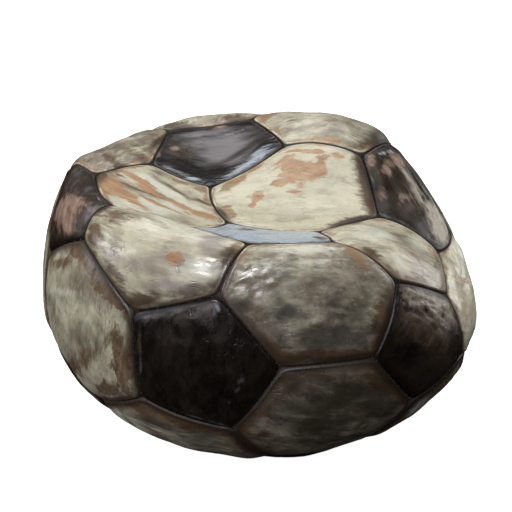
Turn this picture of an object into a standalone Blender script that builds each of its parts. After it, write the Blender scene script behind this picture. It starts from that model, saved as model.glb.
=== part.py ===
"""A deflated football: 32 stitched leather panels, slack and caved in, over a bladder with its valve.

The leather is cut for a round ball. Each point is laid out on that round ball first, as a direction from its
middle, and is then carried to where it lies once the air is out. Sizes are in metres unless a name says
otherwise. The object stands on z = 0, with the middle of its footprint's box at the origin.
"""

import math
from typing import NamedTuple

import bmesh
import bpy
import numpy as np
from mathutils import Matrix, Quaternion, Vector

MM = 0.001

# ---------------------------------------------------------------- the ball before the air went out
BALL_RADIUS = 110 * MM  # 691 mm round, a full-size ball
LEATHER = 3.2 * MM
BLADDER_WALL = 1.0 * MM
BLADDER_CLEARANCE = 0.4 * MM  # between the leather's flesh side and the bladder
SEAM_CLEARANCE = 0.4 * MM  # between the edges of two neighbouring panels

# The turned edge of a panel, from the seam inwards: (distance from the seam, depth below the surface).
EDGE_ROLL = (
    (SEAM_CLEARANCE / 2, 2.2 * MM),
    (1.5 * MM, 0.7 * MM),
    (4.0 * MM, 0.0),
)
RINGS = 4  # rings of triangles from a panel's middle to its seam
INSET_PROBE = 0.02  # the share of the way in over which a ring's inset is measured
NORMAL_STEP = 1e-4  # the turn, in radians, over which a normal is measured
WELD = 0.01 * MM
SMOOTH_UP_TO_DEG = 40

# How the stitched pattern is turned: spun about +Z, then tipped about a level line.
PATTERN_SPIN_DEG = -108
PATTERN_TIP_DEG = 39
TIP_LINE_BEARING_DEG = 11

# ---------------------------------------------------------------- how the slack ball lies
SLUMP = np.array((1.12, 1.01, 0.80))  # wider and lower than the round ball

# The crown has turned inwards past a soft rim. The rim lies in a plane that leans to one side, and the
# plane itself is bent: the rim dips along one line across the ball and lifts along the other.
CAVE_LEAN_DEG = 22
CAVE_LEAN_BEARING_DEG = -51
RIM_HEIGHT = 70 * MM
RIM_LIFT_SIDEWAYS = -22 * MM  # one ball radius out to either side
RIM_LIFT_FORE_AND_AFT = 42 * MM
RIM_TWIST = 12 * MM
RIM_SOFTNESS = 20 * MM
CAVE_TURN = 1.83  # 1 flattens the crown to the rim's plane, and 2 turns it fully inside out


class Push(NamedTuple):
    """A place where the slack leather has been pushed in, pulled out or slid along."""

    bearing_deg: float  # anticlockwise from +X, seen from above
    height_deg: float  # above the horizon
    spread_deg: float  # from the middle of the push to where a third of it is left
    move_mm: tuple  # along X, Y and Z


PUSHES = {
    "front left shoulder stands up": Push(-139, 21, 33, (1, 0, 32)),
    "front lip lifts and leans back": Push(-83, 16, 36, (-4, 12, 25)),
    "front right shoulder stands up": Push(-33, 31, 30, (-7, 2, 34)),
    "back right shoulder pulls in": Push(40, 31, 22, (-8, 7, 15)),
    "hollow behind the back rim": Push(115, 66, 22, (1, -5, -30)),
    "back left side bellies out": Push(112, 42, 47, (-1, 13, 19)),
    "left corner tucks in": Push(180, 22, 21, (8, 10, 21)),
    "crown slides over": Push(-29, 81, 22, (-15, -1, -1)),
}

# The underside spreads softly on to the ground and ends in a level foot.
GROUND_HEIGHT = -81 * MM  # below the middle of the ball
GROUND_SOFTNESS = 4 * MM
FOOT_RISE = 2.4 * MM  # the part of the soft spread that is pressed level

# ---------------------------------------------------------------- the valve
VALVE_PANEL = "pale_base_3"
VALVE_HOLE_RADIUS = 4.2 * MM
VALVE_STEM_RADIUS = 3.7 * MM
VALVE_FLANGE_RADIUS = 7.5 * MM
VALVE_FLANGE_DEPTH = 5.8 * MM
VALVE_FLANGE_THICKNESS = 1.4 * MM
VALVE_LENGTH = 14.0 * MM
VALVE_RIM_DEPTH = 0.3 * MM
VALVE_BOSS_WALL = 2.7 * MM  # the wall round the duct, under the flange
VALVE_CHAMFER = 0.4 * MM
DUCT_RADIUS = 1.6 * MM
FUNNEL_RADIUS = 2.5 * MM
FUNNEL_DEPTH = 1.2 * MM
CORE_CLEARANCE = 0.3 * MM
CORE_TOP_DEPTH = 2.0 * MM
NEEDLE_RADIUS = 0.5 * MM
NEEDLE_DEPTH = 6.0 * MM
BODY_STEPS = 20
CORE_STEPS = 12

# ---------------------------------------------------------------- finishes: (colour, roughness, metallic)
PALE_LEATHER = ((0.60, 0.57, 0.44), 0.45, 0.0)
DARK_LEATHER = ((0.030, 0.022, 0.020), 0.40, 0.0)
BLADDER_RUBBER = ((0.28, 0.10, 0.06), 0.60, 0.0)
VALVE_RUBBER = ((0.04, 0.04, 0.04), 0.55, 0.0)


def unit(vectors: np.ndarray) -> np.ndarray:
    """The same vectors at length one."""
    return vectors / np.linalg.norm(vectors, axis=-1, keepdims=True)


def direction(bearing_deg: float, height_deg: float) -> np.ndarray:
    """The unit vector at a bearing from +X and a height above the horizon."""
    bearing, height = math.radians(bearing_deg), math.radians(height_deg)
    level = math.cos(height)
    return np.array((level * math.cos(bearing), level * math.sin(bearing), math.sin(height)))


def soft_excess(height: np.ndarray, softness: float) -> np.ndarray:
    """How far a height is above zero, with the corner at zero rounded over the softness."""
    return softness * np.logaddexp(0, height / softness)


def pattern_turn() -> np.ndarray:
    """The turn of the stitched pattern, as a 3 x 3 matrix."""
    spin = Quaternion((0, 0, 1), math.radians(PATTERN_SPIN_DEG))
    tip = Quaternion(Vector(direction(TIP_LINE_BEARING_DEG, 0)), math.radians(PATTERN_TIP_DEG))
    return np.array((tip @ spin).to_matrix())


def cave_axes() -> tuple[np.ndarray, np.ndarray, np.ndarray]:
    """The way out of the cave, the line that runs sideways across it, and the line fore and aft."""
    out = direction(CAVE_LEAN_BEARING_DEG, 90 - CAVE_LEAN_DEG)
    sideways = unit(np.array((1, 0, 0)) - out * out[0])
    return out, sideways, np.cross(out, sideways)


def slack(round_directions: np.ndarray) -> np.ndarray:
    """Where points of the round ball, given as directions from its middle, lie on the slack ball."""
    facing = unit(round_directions) @ pattern_turn().T
    place = facing * BALL_RADIUS * SLUMP
    out, sideways, fore_and_aft = cave_axes()
    side = place @ sideways / BALL_RADIUS
    fore = place @ fore_and_aft / BALL_RADIUS
    rim = RIM_HEIGHT + RIM_LIFT_SIDEWAYS * side**2 + RIM_LIFT_FORE_AND_AFT * fore**2 + RIM_TWIST * side * fore
    folded = CAVE_TURN * soft_excess(place @ out - rim, RIM_SOFTNESS)
    place = place - folded[..., None] * out
    for push in PUSHES.values():
        middle = direction(push.bearing_deg, push.height_deg)
        share = np.exp(-2 * (1 - facing @ middle) / math.radians(push.spread_deg) ** 2)
        place = place + share[..., None] * np.array(push.move_mm) * MM
    spread = soft_excess(place[..., 2] - GROUND_HEIGHT, GROUND_SOFTNESS)
    place[..., 2] = np.maximum(spread, FOOT_RISE)
    return place


def outward(round_directions: np.ndarray) -> np.ndarray:
    """The slack ball's outward normal at points given as directions on the round ball."""
    facing = unit(round_directions)
    aside = unit(np.cross(facing, np.where(np.abs(facing[..., 2:]) < 0.9, (0.0, 0.0, 1.0), (1.0, 0.0, 0.0))))
    along = np.cross(facing, aside)
    across_aside = slack(facing + NORMAL_STEP * aside) - slack(facing - NORMAL_STEP * aside)
    across_along = slack(facing + NORMAL_STEP * along) - slack(facing - NORMAL_STEP * along)
    return unit(np.cross(across_aside, across_along))


class Panel(NamedTuple):
    """One panel of the pattern, by its flat outline on the 32-sided solid that the round ball is blown from."""

    name: str
    corners: np.ndarray  # anticlockwise seen from outside

    @property
    def middle(self) -> np.ndarray:
        """The middle of the flat outline."""
        return self.corners.mean(axis=0)

    def seam(self, count: int) -> np.ndarray:
        """Points along the outline, count to a side, each side starting at its corner."""
        share = np.arange(count)[:, None] / count
        nexts = np.roll(self.corners, -1, axis=0)
        return np.concatenate([a * (1 - share) + b * share for a, b in zip(self.corners, nexts)])


def pattern() -> list[Panel]:
    """The 12 five-sided and 20 six-sided panels, named by where they lie on the unturned pattern."""
    ring_height = math.degrees(math.atan(0.5))
    crown, base = direction(0, 90), direction(0, -90)
    upper = [direction(72 * k, ring_height) for k in range(5)]
    lower = [direction(72 * k + 36, -ring_height) for k in range(5)]
    peaks = {"crown": crown, "base": base}
    triangles = {}
    for k in range(5):
        following = (k + 1) % 5
        peaks[f"upper_{k + 1}"] = upper[k]
        peaks[f"lower_{k + 1}"] = lower[k]
        triangles[f"crown_{k + 1}"] = (crown, upper[k], upper[following])
        triangles[f"upper_{k + 1}"] = (upper[k], lower[k], upper[following])
        triangles[f"lower_{k + 1}"] = (lower[k], lower[following], upper[following])
        triangles[f"base_{k + 1}"] = (base, lower[following], lower[k])
    panels = [Panel(f"dark_{place}", five_corners(peak, peaks.values())) for place, peak in peaks.items()]
    panels += [Panel(f"pale_{place}", six_corners(triangle)) for place, triangle in triangles.items()]
    return panels


NEIGHBOURS_FROM, NEIGHBOURS_TO = 0.4, 0.5  # the cosine of the turn from one peak to the next is 0.447


def five_corners(peak: np.ndarray, peaks) -> np.ndarray:
    """The corners a third of the way from a peak of the 20-sided solid to its neighbours, in order round it."""
    neighbours = [other for other in peaks if NEIGHBOURS_FROM < other @ peak < NEIGHBOURS_TO]
    start = unit(neighbours[0] - peak * (neighbours[0] @ peak))
    side = np.cross(peak, start)
    neighbours.sort(key=lambda other: math.atan2(other @ side, other @ start))
    return np.array([peak * 2 / 3 + other / 3 for other in neighbours])


def six_corners(triangle: tuple) -> np.ndarray:
    """The corners at the thirds of a triangle's sides, in order round it."""
    a, b, c = triangle
    if np.cross(b - a, c - a) @ a < 0:
        b, c = c, b
    corners = []
    for start, end in ((a, b), (b, c), (c, a)):
        corners += [start * 2 / 3 + end / 3, start / 3 + end * 2 / 3]
    return np.array(corners)


def inset_ring(panel: Panel, count: int, inset: float) -> np.ndarray:
    """A ring that keeps one distance from the seam, measured on the slack leather, as round directions."""
    seam = panel.seam(count)
    inwards = panel.middle - seam
    seam_place = slack(seam)
    reach = (slack(seam + INSET_PROBE * inwards) - seam_place) / INSET_PROBE
    shares = np.zeros((2, len(seam)))
    for end, shift in enumerate((-1, 1)):
        run = unit(np.roll(seam_place, shift, axis=0) - seam_place)
        square = reach - (reach * run).sum(axis=1)[:, None] * run
        shares[end] = inset / np.linalg.norm(square, axis=1)
    share = shares.mean(axis=0)
    share[::count] = shares[:, ::count].max(axis=0)
    return seam + share[:, None] * inwards


def inner_ring(panel: Panel, ring: int) -> np.ndarray:
    """The ring that many steps out from the panel's middle, as round directions."""
    seam = panel.seam(max(ring, 1))
    return panel.middle + (seam - panel.middle) * ring / RINGS


def add_ring(mesh: bmesh.types.BMesh, directions: np.ndarray, depth: float) -> list:
    """Adds a ring's vertices at a depth below the slack ball's surface."""
    points = slack(directions) - depth * outward(directions)
    return [mesh.verts.new(point) for point in points]


def join_rings(mesh: bmesh.types.BMesh, outer: list, inner: list, sides: int, flip: bool) -> None:
    """Fills between two rings with triangles, where the inner ring has as many points a side, or one fewer."""
    outer_count, inner_count = len(outer) // sides, len(inner) // sides
    for side in range(sides):
        for k in range(outer_count):
            here = outer[side * outer_count + k]
            following = outer[(side * outer_count + k + 1) % len(outer)]
            below = inner[(side * inner_count + k) % len(inner)]
            add_triangle(mesh, (here, following, below), flip)
            if k < inner_count:
                below_following = inner[(side * inner_count + k + 1) % len(inner)]
                add_triangle(mesh, (following, below_following, below), flip)


def add_triangle(mesh: bmesh.types.BMesh, corners: tuple, flip: bool) -> None:
    """Adds one triangle, turned over if asked."""
    mesh.faces.new(tuple(reversed(corners)) if flip else corners)


def add_sheet(mesh: bmesh.types.BMesh, panel: Panel, border: list, depth: float, flip: bool) -> None:
    """Fills a panel from a border ring of RINGS points a side in to its middle, at one depth."""
    sides = len(panel.corners)
    outer = border
    for ring in range(RINGS - 1, 0, -1):
        inner = add_ring(mesh, inner_ring(panel, ring), depth)
        join_rings(mesh, outer, inner, sides, flip)
        outer = inner
    middle = add_ring(mesh, panel.middle[None], depth)[0]
    for k, corner in enumerate(outer):
        add_triangle(mesh, (corner, outer[(k + 1) % len(outer)], middle), flip)


def leather_panel(panel: Panel) -> bmesh.types.BMesh:
    """A leather plate with its edge rolled down to the seam."""
    mesh = bmesh.new()
    sides = len(panel.corners)
    rolls = [add_ring(mesh, inset_ring(panel, RINGS, inset), depth) for inset, depth in EDGE_ROLL]
    for outer, inner in zip(rolls, rolls[1:]):
        join_rings(mesh, outer, inner, sides, flip=False)
    add_sheet(mesh, panel, rolls[-1], 0.0, flip=False)
    hem = add_ring(mesh, inset_ring(panel, RINGS, EDGE_ROLL[0][0]), LEATHER)
    join_rings(mesh, hem, rolls[0], sides, flip=False)
    add_sheet(mesh, panel, hem, LEATHER, flip=True)
    return mesh


def bladder_shell(panels: list[Panel]) -> bmesh.types.BMesh:
    """The bladder: a thin closed wall that lies against the leather's flesh side."""
    mesh = bmesh.new()
    outside = LEATHER + BLADDER_CLEARANCE
    for depth, flip in ((outside, False), (outside + BLADDER_WALL, True)):
        for panel in panels:
            border = add_ring(mesh, panel.seam(RINGS), depth)
            add_sheet(mesh, panel, border, depth, flip)
    bmesh.ops.remove_doubles(mesh, verts=mesh.verts, dist=WELD)
    return mesh


def turned(profile: list[tuple[float, float]], steps: int) -> bmesh.types.BMesh:
    """A solid turned about +Z from a closed outline of (radius, height) points."""
    mesh = bmesh.new()
    points = [mesh.verts.new((radius, 0, height)) for radius, height in profile]
    edges = [mesh.edges.new((a, b)) for a, b in zip(points, points[1:] + points[:1])]
    bmesh.ops.spin(
        mesh,
        geom=points + edges,
        axis=(0, 0, 1),
        cent=(0, 0, 0),
        angle=math.tau,
        steps=steps,
        use_merge=True,
    )
    bmesh.ops.remove_doubles(mesh, verts=mesh.verts, dist=WELD)
    bmesh.ops.recalc_face_normals(mesh, faces=mesh.faces)
    return mesh


def valve_body() -> bmesh.types.BMesh:
    """The valve's rubber body: a stem up through the leather, a flange under the bladder, and a duct."""
    flange_end = VALVE_FLANGE_DEPTH + VALVE_FLANGE_THICKNESS
    boss_radius = DUCT_RADIUS + VALVE_BOSS_WALL
    outline = [
        (FUNNEL_RADIUS, -VALVE_RIM_DEPTH),
        (VALVE_STEM_RADIUS - VALVE_CHAMFER, -VALVE_RIM_DEPTH),
        (VALVE_STEM_RADIUS, -VALVE_RIM_DEPTH - VALVE_CHAMFER),
        (VALVE_STEM_RADIUS, -VALVE_FLANGE_DEPTH),
        (VALVE_FLANGE_RADIUS, -VALVE_FLANGE_DEPTH - VALVE_CHAMFER),
        (VALVE_FLANGE_RADIUS, -flange_end),
        (boss_radius, -flange_end),
        (boss_radius, -VALVE_LENGTH),
        (DUCT_RADIUS, -VALVE_LENGTH),
        (DUCT_RADIUS, -VALVE_RIM_DEPTH - FUNNEL_DEPTH),
    ]
    return turned(outline, BODY_STEPS)


def valve_core() -> bmesh.types.BMesh:
    """The rubber plug in the duct, with the blind hole that takes a pump's needle."""
    radius = DUCT_RADIUS - CORE_CLEARANCE
    outline = [
        (NEEDLE_RADIUS, -CORE_TOP_DEPTH - NEEDLE_DEPTH),
        (NEEDLE_RADIUS, -CORE_TOP_DEPTH),
        (radius - VALVE_CHAMFER, -CORE_TOP_DEPTH),
        (radius, -CORE_TOP_DEPTH - VALVE_CHAMFER),
        (radius, -VALVE_LENGTH),
        (0, -VALVE_LENGTH),
        (0, -CORE_TOP_DEPTH - NEEDLE_DEPTH),
    ]
    return turned(outline, CORE_STEPS)


def valve_seat(panel: Panel) -> Matrix:
    """The place of the valve: at the panel's middle, with +Z straight out of the leather."""
    point = Vector(slack(panel.middle[None])[0])
    out = Vector(outward(panel.middle[None])[0])
    return Matrix.Translation(point) @ out.to_track_quat("Z", "Y").to_matrix().to_4x4()


def material(name: str, finish: tuple) -> bpy.types.Material:
    """A plain Principled material from a colour, a roughness and a metallic value."""
    colour, roughness, metallic = finish
    made = bpy.data.materials.new(name)
    made.use_nodes = True
    shader = made.node_tree.nodes["Principled BSDF"]
    shader.inputs["Base Color"].default_value = (*colour, 1)
    shader.inputs["Roughness"].default_value = roughness
    shader.inputs["Metallic"].default_value = metallic
    made.diffuse_color = (*colour, 1)
    return made


def add_object(name: str, shape: bmesh.types.BMesh, finish: tuple, place: Matrix, root) -> bpy.types.Object:
    """Makes an object of a mesh, in its own finish, placed under the root."""
    data = bpy.data.meshes.new(name)
    shape.to_mesh(data)
    shape.free()
    data.materials.append(material(name, finish))
    data.shade_smooth()
    data.set_sharp_from_angle(angle=math.radians(SMOOTH_UP_TO_DEG))
    made = bpy.data.objects.new(name, data)
    bpy.context.collection.objects.link(made)
    made.parent = root
    made.matrix_local = place
    return made


def about_middle(shape: bmesh.types.BMesh) -> Matrix:
    """Moves a mesh so that its box's middle is at its origin, and gives the place it came from."""
    points = np.array([vertex.co for vertex in shape.verts])
    middle = Vector((points.min(axis=0) + points.max(axis=0)) / 2)
    bmesh.ops.translate(shape, verts=shape.verts, vec=-middle)
    return Matrix.Translation(middle)


def cut_valve_hole(objects: list[bpy.types.Object], seat: Matrix, root) -> None:
    """Cuts the valve's hole through the leather and the bladder with one hidden cylinder."""
    shape = bmesh.new()
    bmesh.ops.create_cone(
        shape,
        cap_ends=True,
        segments=BODY_STEPS,
        radius1=VALVE_HOLE_RADIUS,
        radius2=VALVE_HOLE_RADIUS,
        depth=4 * LEATHER,
    )
    cutter = add_object("valve_hole_cutter", shape, VALVE_RUBBER, seat, root)
    cutter.hide_render = True
    cutter.display_type = "WIRE"
    for holed in objects:
        cut = holed.modifiers.new("valve_hole", "BOOLEAN")
        cut.operation = "DIFFERENCE"
        cut.solver = "EXACT"
        cut.object = cutter


def stand_on_ground(root: bpy.types.Object, leather: list[bpy.types.Object]) -> None:
    """Moves the root so that the leather's box stands on z = 0, with its middle over the origin."""
    bpy.context.view_layer.update()
    points = np.array([made.matrix_world @ vertex.co for made in leather for vertex in made.data.vertices])
    lowest, highest = points.min(axis=0), points.max(axis=0)
    middle = (lowest + highest) / 2
    root.location = (-middle[0], -middle[1], -lowest[2])


def main() -> None:
    """Builds every piece of the ball and stands it on the ground."""
    for old in list(bpy.data.objects):
        bpy.data.objects.remove(old)
    root = bpy.data.objects.new("football", None)
    bpy.context.collection.objects.link(root)

    panels = pattern()
    leather = {}
    for panel in panels:
        shape = leather_panel(panel)
        place = about_middle(shape)
        finish = DARK_LEATHER if panel.name.startswith("dark") else PALE_LEATHER
        leather[panel.name] = add_object(panel.name, shape, finish, place, root)

    shell = bladder_shell(panels)
    bladder = add_object("bladder", shell, BLADDER_RUBBER, about_middle(shell), root)

    valve_panel = next(panel for panel in panels if panel.name == VALVE_PANEL)
    seat = valve_seat(valve_panel)
    add_object("valve_body", valve_body(), VALVE_RUBBER, seat, root)
    add_object("valve_core", valve_core(), VALVE_RUBBER, seat, root)
    cut_valve_hole([leather[VALVE_PANEL], bladder], seat, root)
    stand_on_ground(root, list(leather.values()))


main()
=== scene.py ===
"""The looks of a deflated football: its leather, seams, thread, valve and wear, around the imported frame.

Each leather panel is modelled as a flat blank, laid on the round ball that it was cut for, and carried to
where it lies once the air is out, in the way that the frame's own panels were. Sizes are in metres unless a
name says otherwise.
"""

import logging
import math
from dataclasses import dataclass
from enum import Enum

import bpy
import numpy as np
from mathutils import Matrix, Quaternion, Vector


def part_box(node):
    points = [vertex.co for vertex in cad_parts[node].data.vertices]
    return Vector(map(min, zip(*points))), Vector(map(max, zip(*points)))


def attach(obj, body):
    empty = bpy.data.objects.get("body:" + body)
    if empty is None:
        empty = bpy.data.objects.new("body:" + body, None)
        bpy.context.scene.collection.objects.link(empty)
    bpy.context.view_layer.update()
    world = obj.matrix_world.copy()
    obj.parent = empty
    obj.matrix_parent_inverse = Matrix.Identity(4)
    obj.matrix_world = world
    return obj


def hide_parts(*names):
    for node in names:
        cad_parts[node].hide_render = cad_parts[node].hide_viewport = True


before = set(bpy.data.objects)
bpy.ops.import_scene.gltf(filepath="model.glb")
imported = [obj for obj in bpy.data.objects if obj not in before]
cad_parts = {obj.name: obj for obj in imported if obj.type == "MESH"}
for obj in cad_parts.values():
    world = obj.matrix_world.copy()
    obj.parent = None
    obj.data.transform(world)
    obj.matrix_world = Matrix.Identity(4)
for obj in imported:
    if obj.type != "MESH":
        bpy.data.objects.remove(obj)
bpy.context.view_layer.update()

LOG = logging.getLogger("football")
MM = 0.001

Colour = tuple[float, float, float]
Pair = tuple[float, float]
Rows = np.ndarray
Piece = bpy.types.Object
Socket = bpy.types.NodeSocket
Number = Socket | float
Tint = Socket | Colour


# ---------------------------------------- small helpers
def unit(vectors: Rows) -> Rows:
    """The same vectors at length one."""
    return vectors / np.linalg.norm(vectors, axis=-1, keepdims=True)


def direction(bearing_deg: float, height_deg: float) -> Rows:
    """The unit vector at a bearing from +X and a height above the horizon."""
    bearing, height = math.radians(bearing_deg), math.radians(height_deg)
    level = math.cos(height)
    return np.array((level * math.cos(bearing), level * math.sin(bearing), math.sin(height)))


def soft_excess(height: Rows, softness: float) -> Rows:
    """How far a height is above zero, with the corner at zero rounded over the softness."""
    return softness * np.logaddexp(0, height / softness)


def ease(value: Rows, start: float, end: float) -> Rows:
    """A smooth step from 0 at the start to 1 at the end."""
    share = np.clip((value - start) / (end - start), 0, 1)
    return share * share * (3 - 2 * share)


def seen_along(flat_mm: Rows, at: Pair, turn_deg: float) -> tuple[Rows, Rows]:
    """How far points are from a middle, along a line through it and square to that line.

    Args:
        flat_mm: the points, one row each.
        at: the middle.
        turn_deg: how far the line is turned from X.

    Returns:
        The distances along the line, and those across it.
    """
    away = flat_mm - np.array(at)
    line = direction(turn_deg, 0)[:2]
    return away @ line, away @ np.array((-line[1], line[0]))


def paint(red: int, green: int, blue: int) -> Colour:
    """A colour given as it looks on a screen, from 0 to 255 a channel, as linear light."""
    return tuple((part / 255) ** 2.2 for part in (red, green, blue))


def deselect_all() -> None:
    """Leaves nothing selected."""
    for each in list(bpy.context.selected_objects):
        each.select_set(False)


def take(piece: Piece) -> None:
    """Selects one object alone and makes it the active one."""
    deselect_all()
    piece.select_set(True)
    bpy.context.view_layer.objects.active = piece


def get_places(mesh: bpy.types.Mesh) -> Rows:
    """A mesh's vertices, one row each."""
    places = np.empty(len(mesh.vertices) * 3)
    mesh.vertices.foreach_get("co", places)
    return places.reshape(-1, 3)


def set_places(mesh: bpy.types.Mesh, places: Rows) -> None:
    """Moves a mesh's vertices."""
    mesh.vertices.foreach_set("co", np.ascontiguousarray(places, np.float32).ravel())
    mesh.update()


def copy_of(piece: Piece, name: str) -> Piece:
    """A copy with a mesh of its own.

    Args:
        piece: the object to copy.
        name: the name of the copy and its mesh.

    Returns:
        The copy.
    """
    copied = piece.copy()
    copied.data = piece.data.copy()
    copied.name = copied.data.name = name
    bpy.context.collection.objects.link(copied)
    return copied


def discard(piece: Piece) -> None:
    """Removes an object and its mesh."""
    mesh = piece.data
    bpy.data.objects.remove(piece)
    bpy.data.meshes.remove(mesh)


# ---------------------------------------- the ball's shape
@dataclass(frozen=True)
class Push:
    """A place where the slack leather has been pushed in, pulled out or slid along.

    Args:
        bearing_deg: anticlockwise from +X, seen from above.
        height_deg: above the horizon.
        spread_deg: from the middle of the push to where a third of it is left.
        move_mm: along X, Y and Z.
    """

    bearing_deg: float
    height_deg: float
    spread_deg: float
    move_mm: tuple[float, float, float]


@dataclass(frozen=True)
class SlackBall:
    """The round ball's surface, and where it lies once the air is out, as the frame's panels do."""

    radius: float = 110 * MM
    leather: float = 3.2 * MM
    pattern_spin_deg: float = -108
    pattern_tip_deg: float = 39
    tip_line_bearing_deg: float = 11
    slump: tuple[float, float, float] = (1.12, 1.01, 0.80)
    cave_lean_deg: float = 22
    cave_lean_bearing_deg: float = -51
    rim_height: float = 70 * MM
    rim_lift_sideways: float = -22 * MM
    rim_lift_fore_and_aft: float = 42 * MM
    rim_twist: float = 12 * MM
    rim_softness: float = 20 * MM
    cave_turn: float = 1.83
    ground_height: float = -81 * MM
    ground_softness: float = 4 * MM
    foot_rise: float = 2.4 * MM
    box_middle: tuple[float, float, float] = (-0.8 * MM, 7.2 * MM, 2.4 * MM)
    pushes: tuple[Push, ...] = (
        Push(-139, 21, 33, (1, 0, 32)),
        Push(-83, 16, 36, (-4, 12, 25)),
        Push(-33, 31, 30, (-7, 2, 34)),
        Push(40, 31, 22, (-8, 7, 15)),
        Push(115, 66, 22, (1, -5, -30)),
        Push(112, 42, 47, (-1, 13, 19)),
        Push(180, 22, 21, (8, 10, 21)),
        Push(-29, 81, 22, (-15, -1, -1)),
    )

    def pattern_turn(self) -> Rows:
        """The turn of the stitched pattern, as a 3 x 3 matrix."""
        spin = Quaternion((0, 0, 1), math.radians(self.pattern_spin_deg))
        tip_line = Vector(direction(self.tip_line_bearing_deg, 0))
        return np.array((Quaternion(tip_line, math.radians(self.pattern_tip_deg)) @ spin).to_matrix())

    def lie(self, round_directions: Rows) -> Rows:
        """Where points of the round ball lie on the slack one.

        Args:
            round_directions: the points as directions from the round ball's middle, one row each.

        Returns:
            Their places in the frame, one row each.
        """
        facing = unit(round_directions) @ self.pattern_turn().T
        place = facing * self.radius * np.array(self.slump)
        out = direction(self.cave_lean_bearing_deg, 90 - self.cave_lean_deg)
        sideways = unit(np.array((1, 0, 0)) - out * out[0])
        side = place @ sideways / self.radius
        fore = place @ np.cross(out, sideways) / self.radius
        rim = self.rim_height + self.rim_lift_sideways * side**2 + self.rim_lift_fore_and_aft * fore**2
        rim = rim + self.rim_twist * side * fore
        folded = self.cave_turn * soft_excess(place @ out - rim, self.rim_softness)
        place = place - folded[..., None] * out
        for push in self.pushes:
            middle = direction(push.bearing_deg, push.height_deg)
            share = np.exp(-2 * (1 - facing @ middle) / math.radians(push.spread_deg) ** 2)
            place = place + share[..., None] * np.array(push.move_mm) * MM
        spread = soft_excess(place[..., 2] - self.ground_height, self.ground_softness)
        place[..., 2] = np.maximum(spread, self.foot_rise)
        return place - np.array(self.box_middle)

    def tangents(self, round_directions: Rows) -> tuple[Rows, ...]:
        """How the slack surface runs at points of the round ball.

        Args:
            round_directions: the points, one row each.

        Returns:
            Two square directions on the round ball, and the slack ball's stretch of each as a vector.
        """
        step = 1e-4
        facing = unit(round_directions)
        poles = np.where(np.abs(facing[..., 2:]) < 0.9, (0.0, 0.0, 1.0), (1.0, 0.0, 0.0))
        aside = unit(np.cross(facing, poles))
        along = np.cross(facing, aside)
        scale = 2 * step * self.radius
        run_aside = (self.lie(facing + step * aside) - self.lie(facing - step * aside)) / scale
        run_along = (self.lie(facing + step * along) - self.lie(facing - step * along)) / scale
        return aside, along, run_aside, run_along

    def outward(self, round_directions: Rows) -> Rows:
        """The slack ball's outward normal at points of the round one."""
        _, _, run_aside, run_along = self.tangents(round_directions)
        return unit(np.cross(run_aside, run_along))


class Hide(Enum):
    """The two leathers of the ball."""

    PALE = "pale_leather"
    DARK = "dark_leather"


@dataclass(frozen=True)
class PanelPlan:
    """One panel of the stitched pattern, by its flat outline on the 32-sided solid that the ball is made as.

    Args:
        name: the frame's node that it stands for.
        hide: the leather that it is cut from.
        corners: anticlockwise seen from outside, one row each.
    """

    name: str
    hide: Hide
    corners: Rows

    @property
    def middle(self) -> Rows:
        """The middle of the flat outline."""
        return self.corners.mean(axis=0)

    @property
    def apothem(self) -> float:
        """From the middle to the middle of a side."""
        return float(np.linalg.norm((self.corners[0] + self.corners[1]) / 2 - self.middle))

    def seam_point(self, along: Rows) -> Rows:
        """Points of the outline, by how many sides round it they are from the first corner.

        Args:
            along: how many sides round each point is.

        Returns:
            The points, one row each.
        """
        sides = len(self.corners)
        corner = np.floor(along).astype(int) % sides
        share = (along - np.floor(along))[..., None]
        return self.corners[corner] * (1 - share) + self.corners[(corner + 1) % sides] * share

    def flat_axes(self) -> tuple[Rows, Rows]:
        """The panel's own X, towards its first corner, and its Y, both along its flat face."""
        x = unit(self.corners[0] - self.middle)
        return x, np.cross(unit(self.middle), x)


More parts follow.
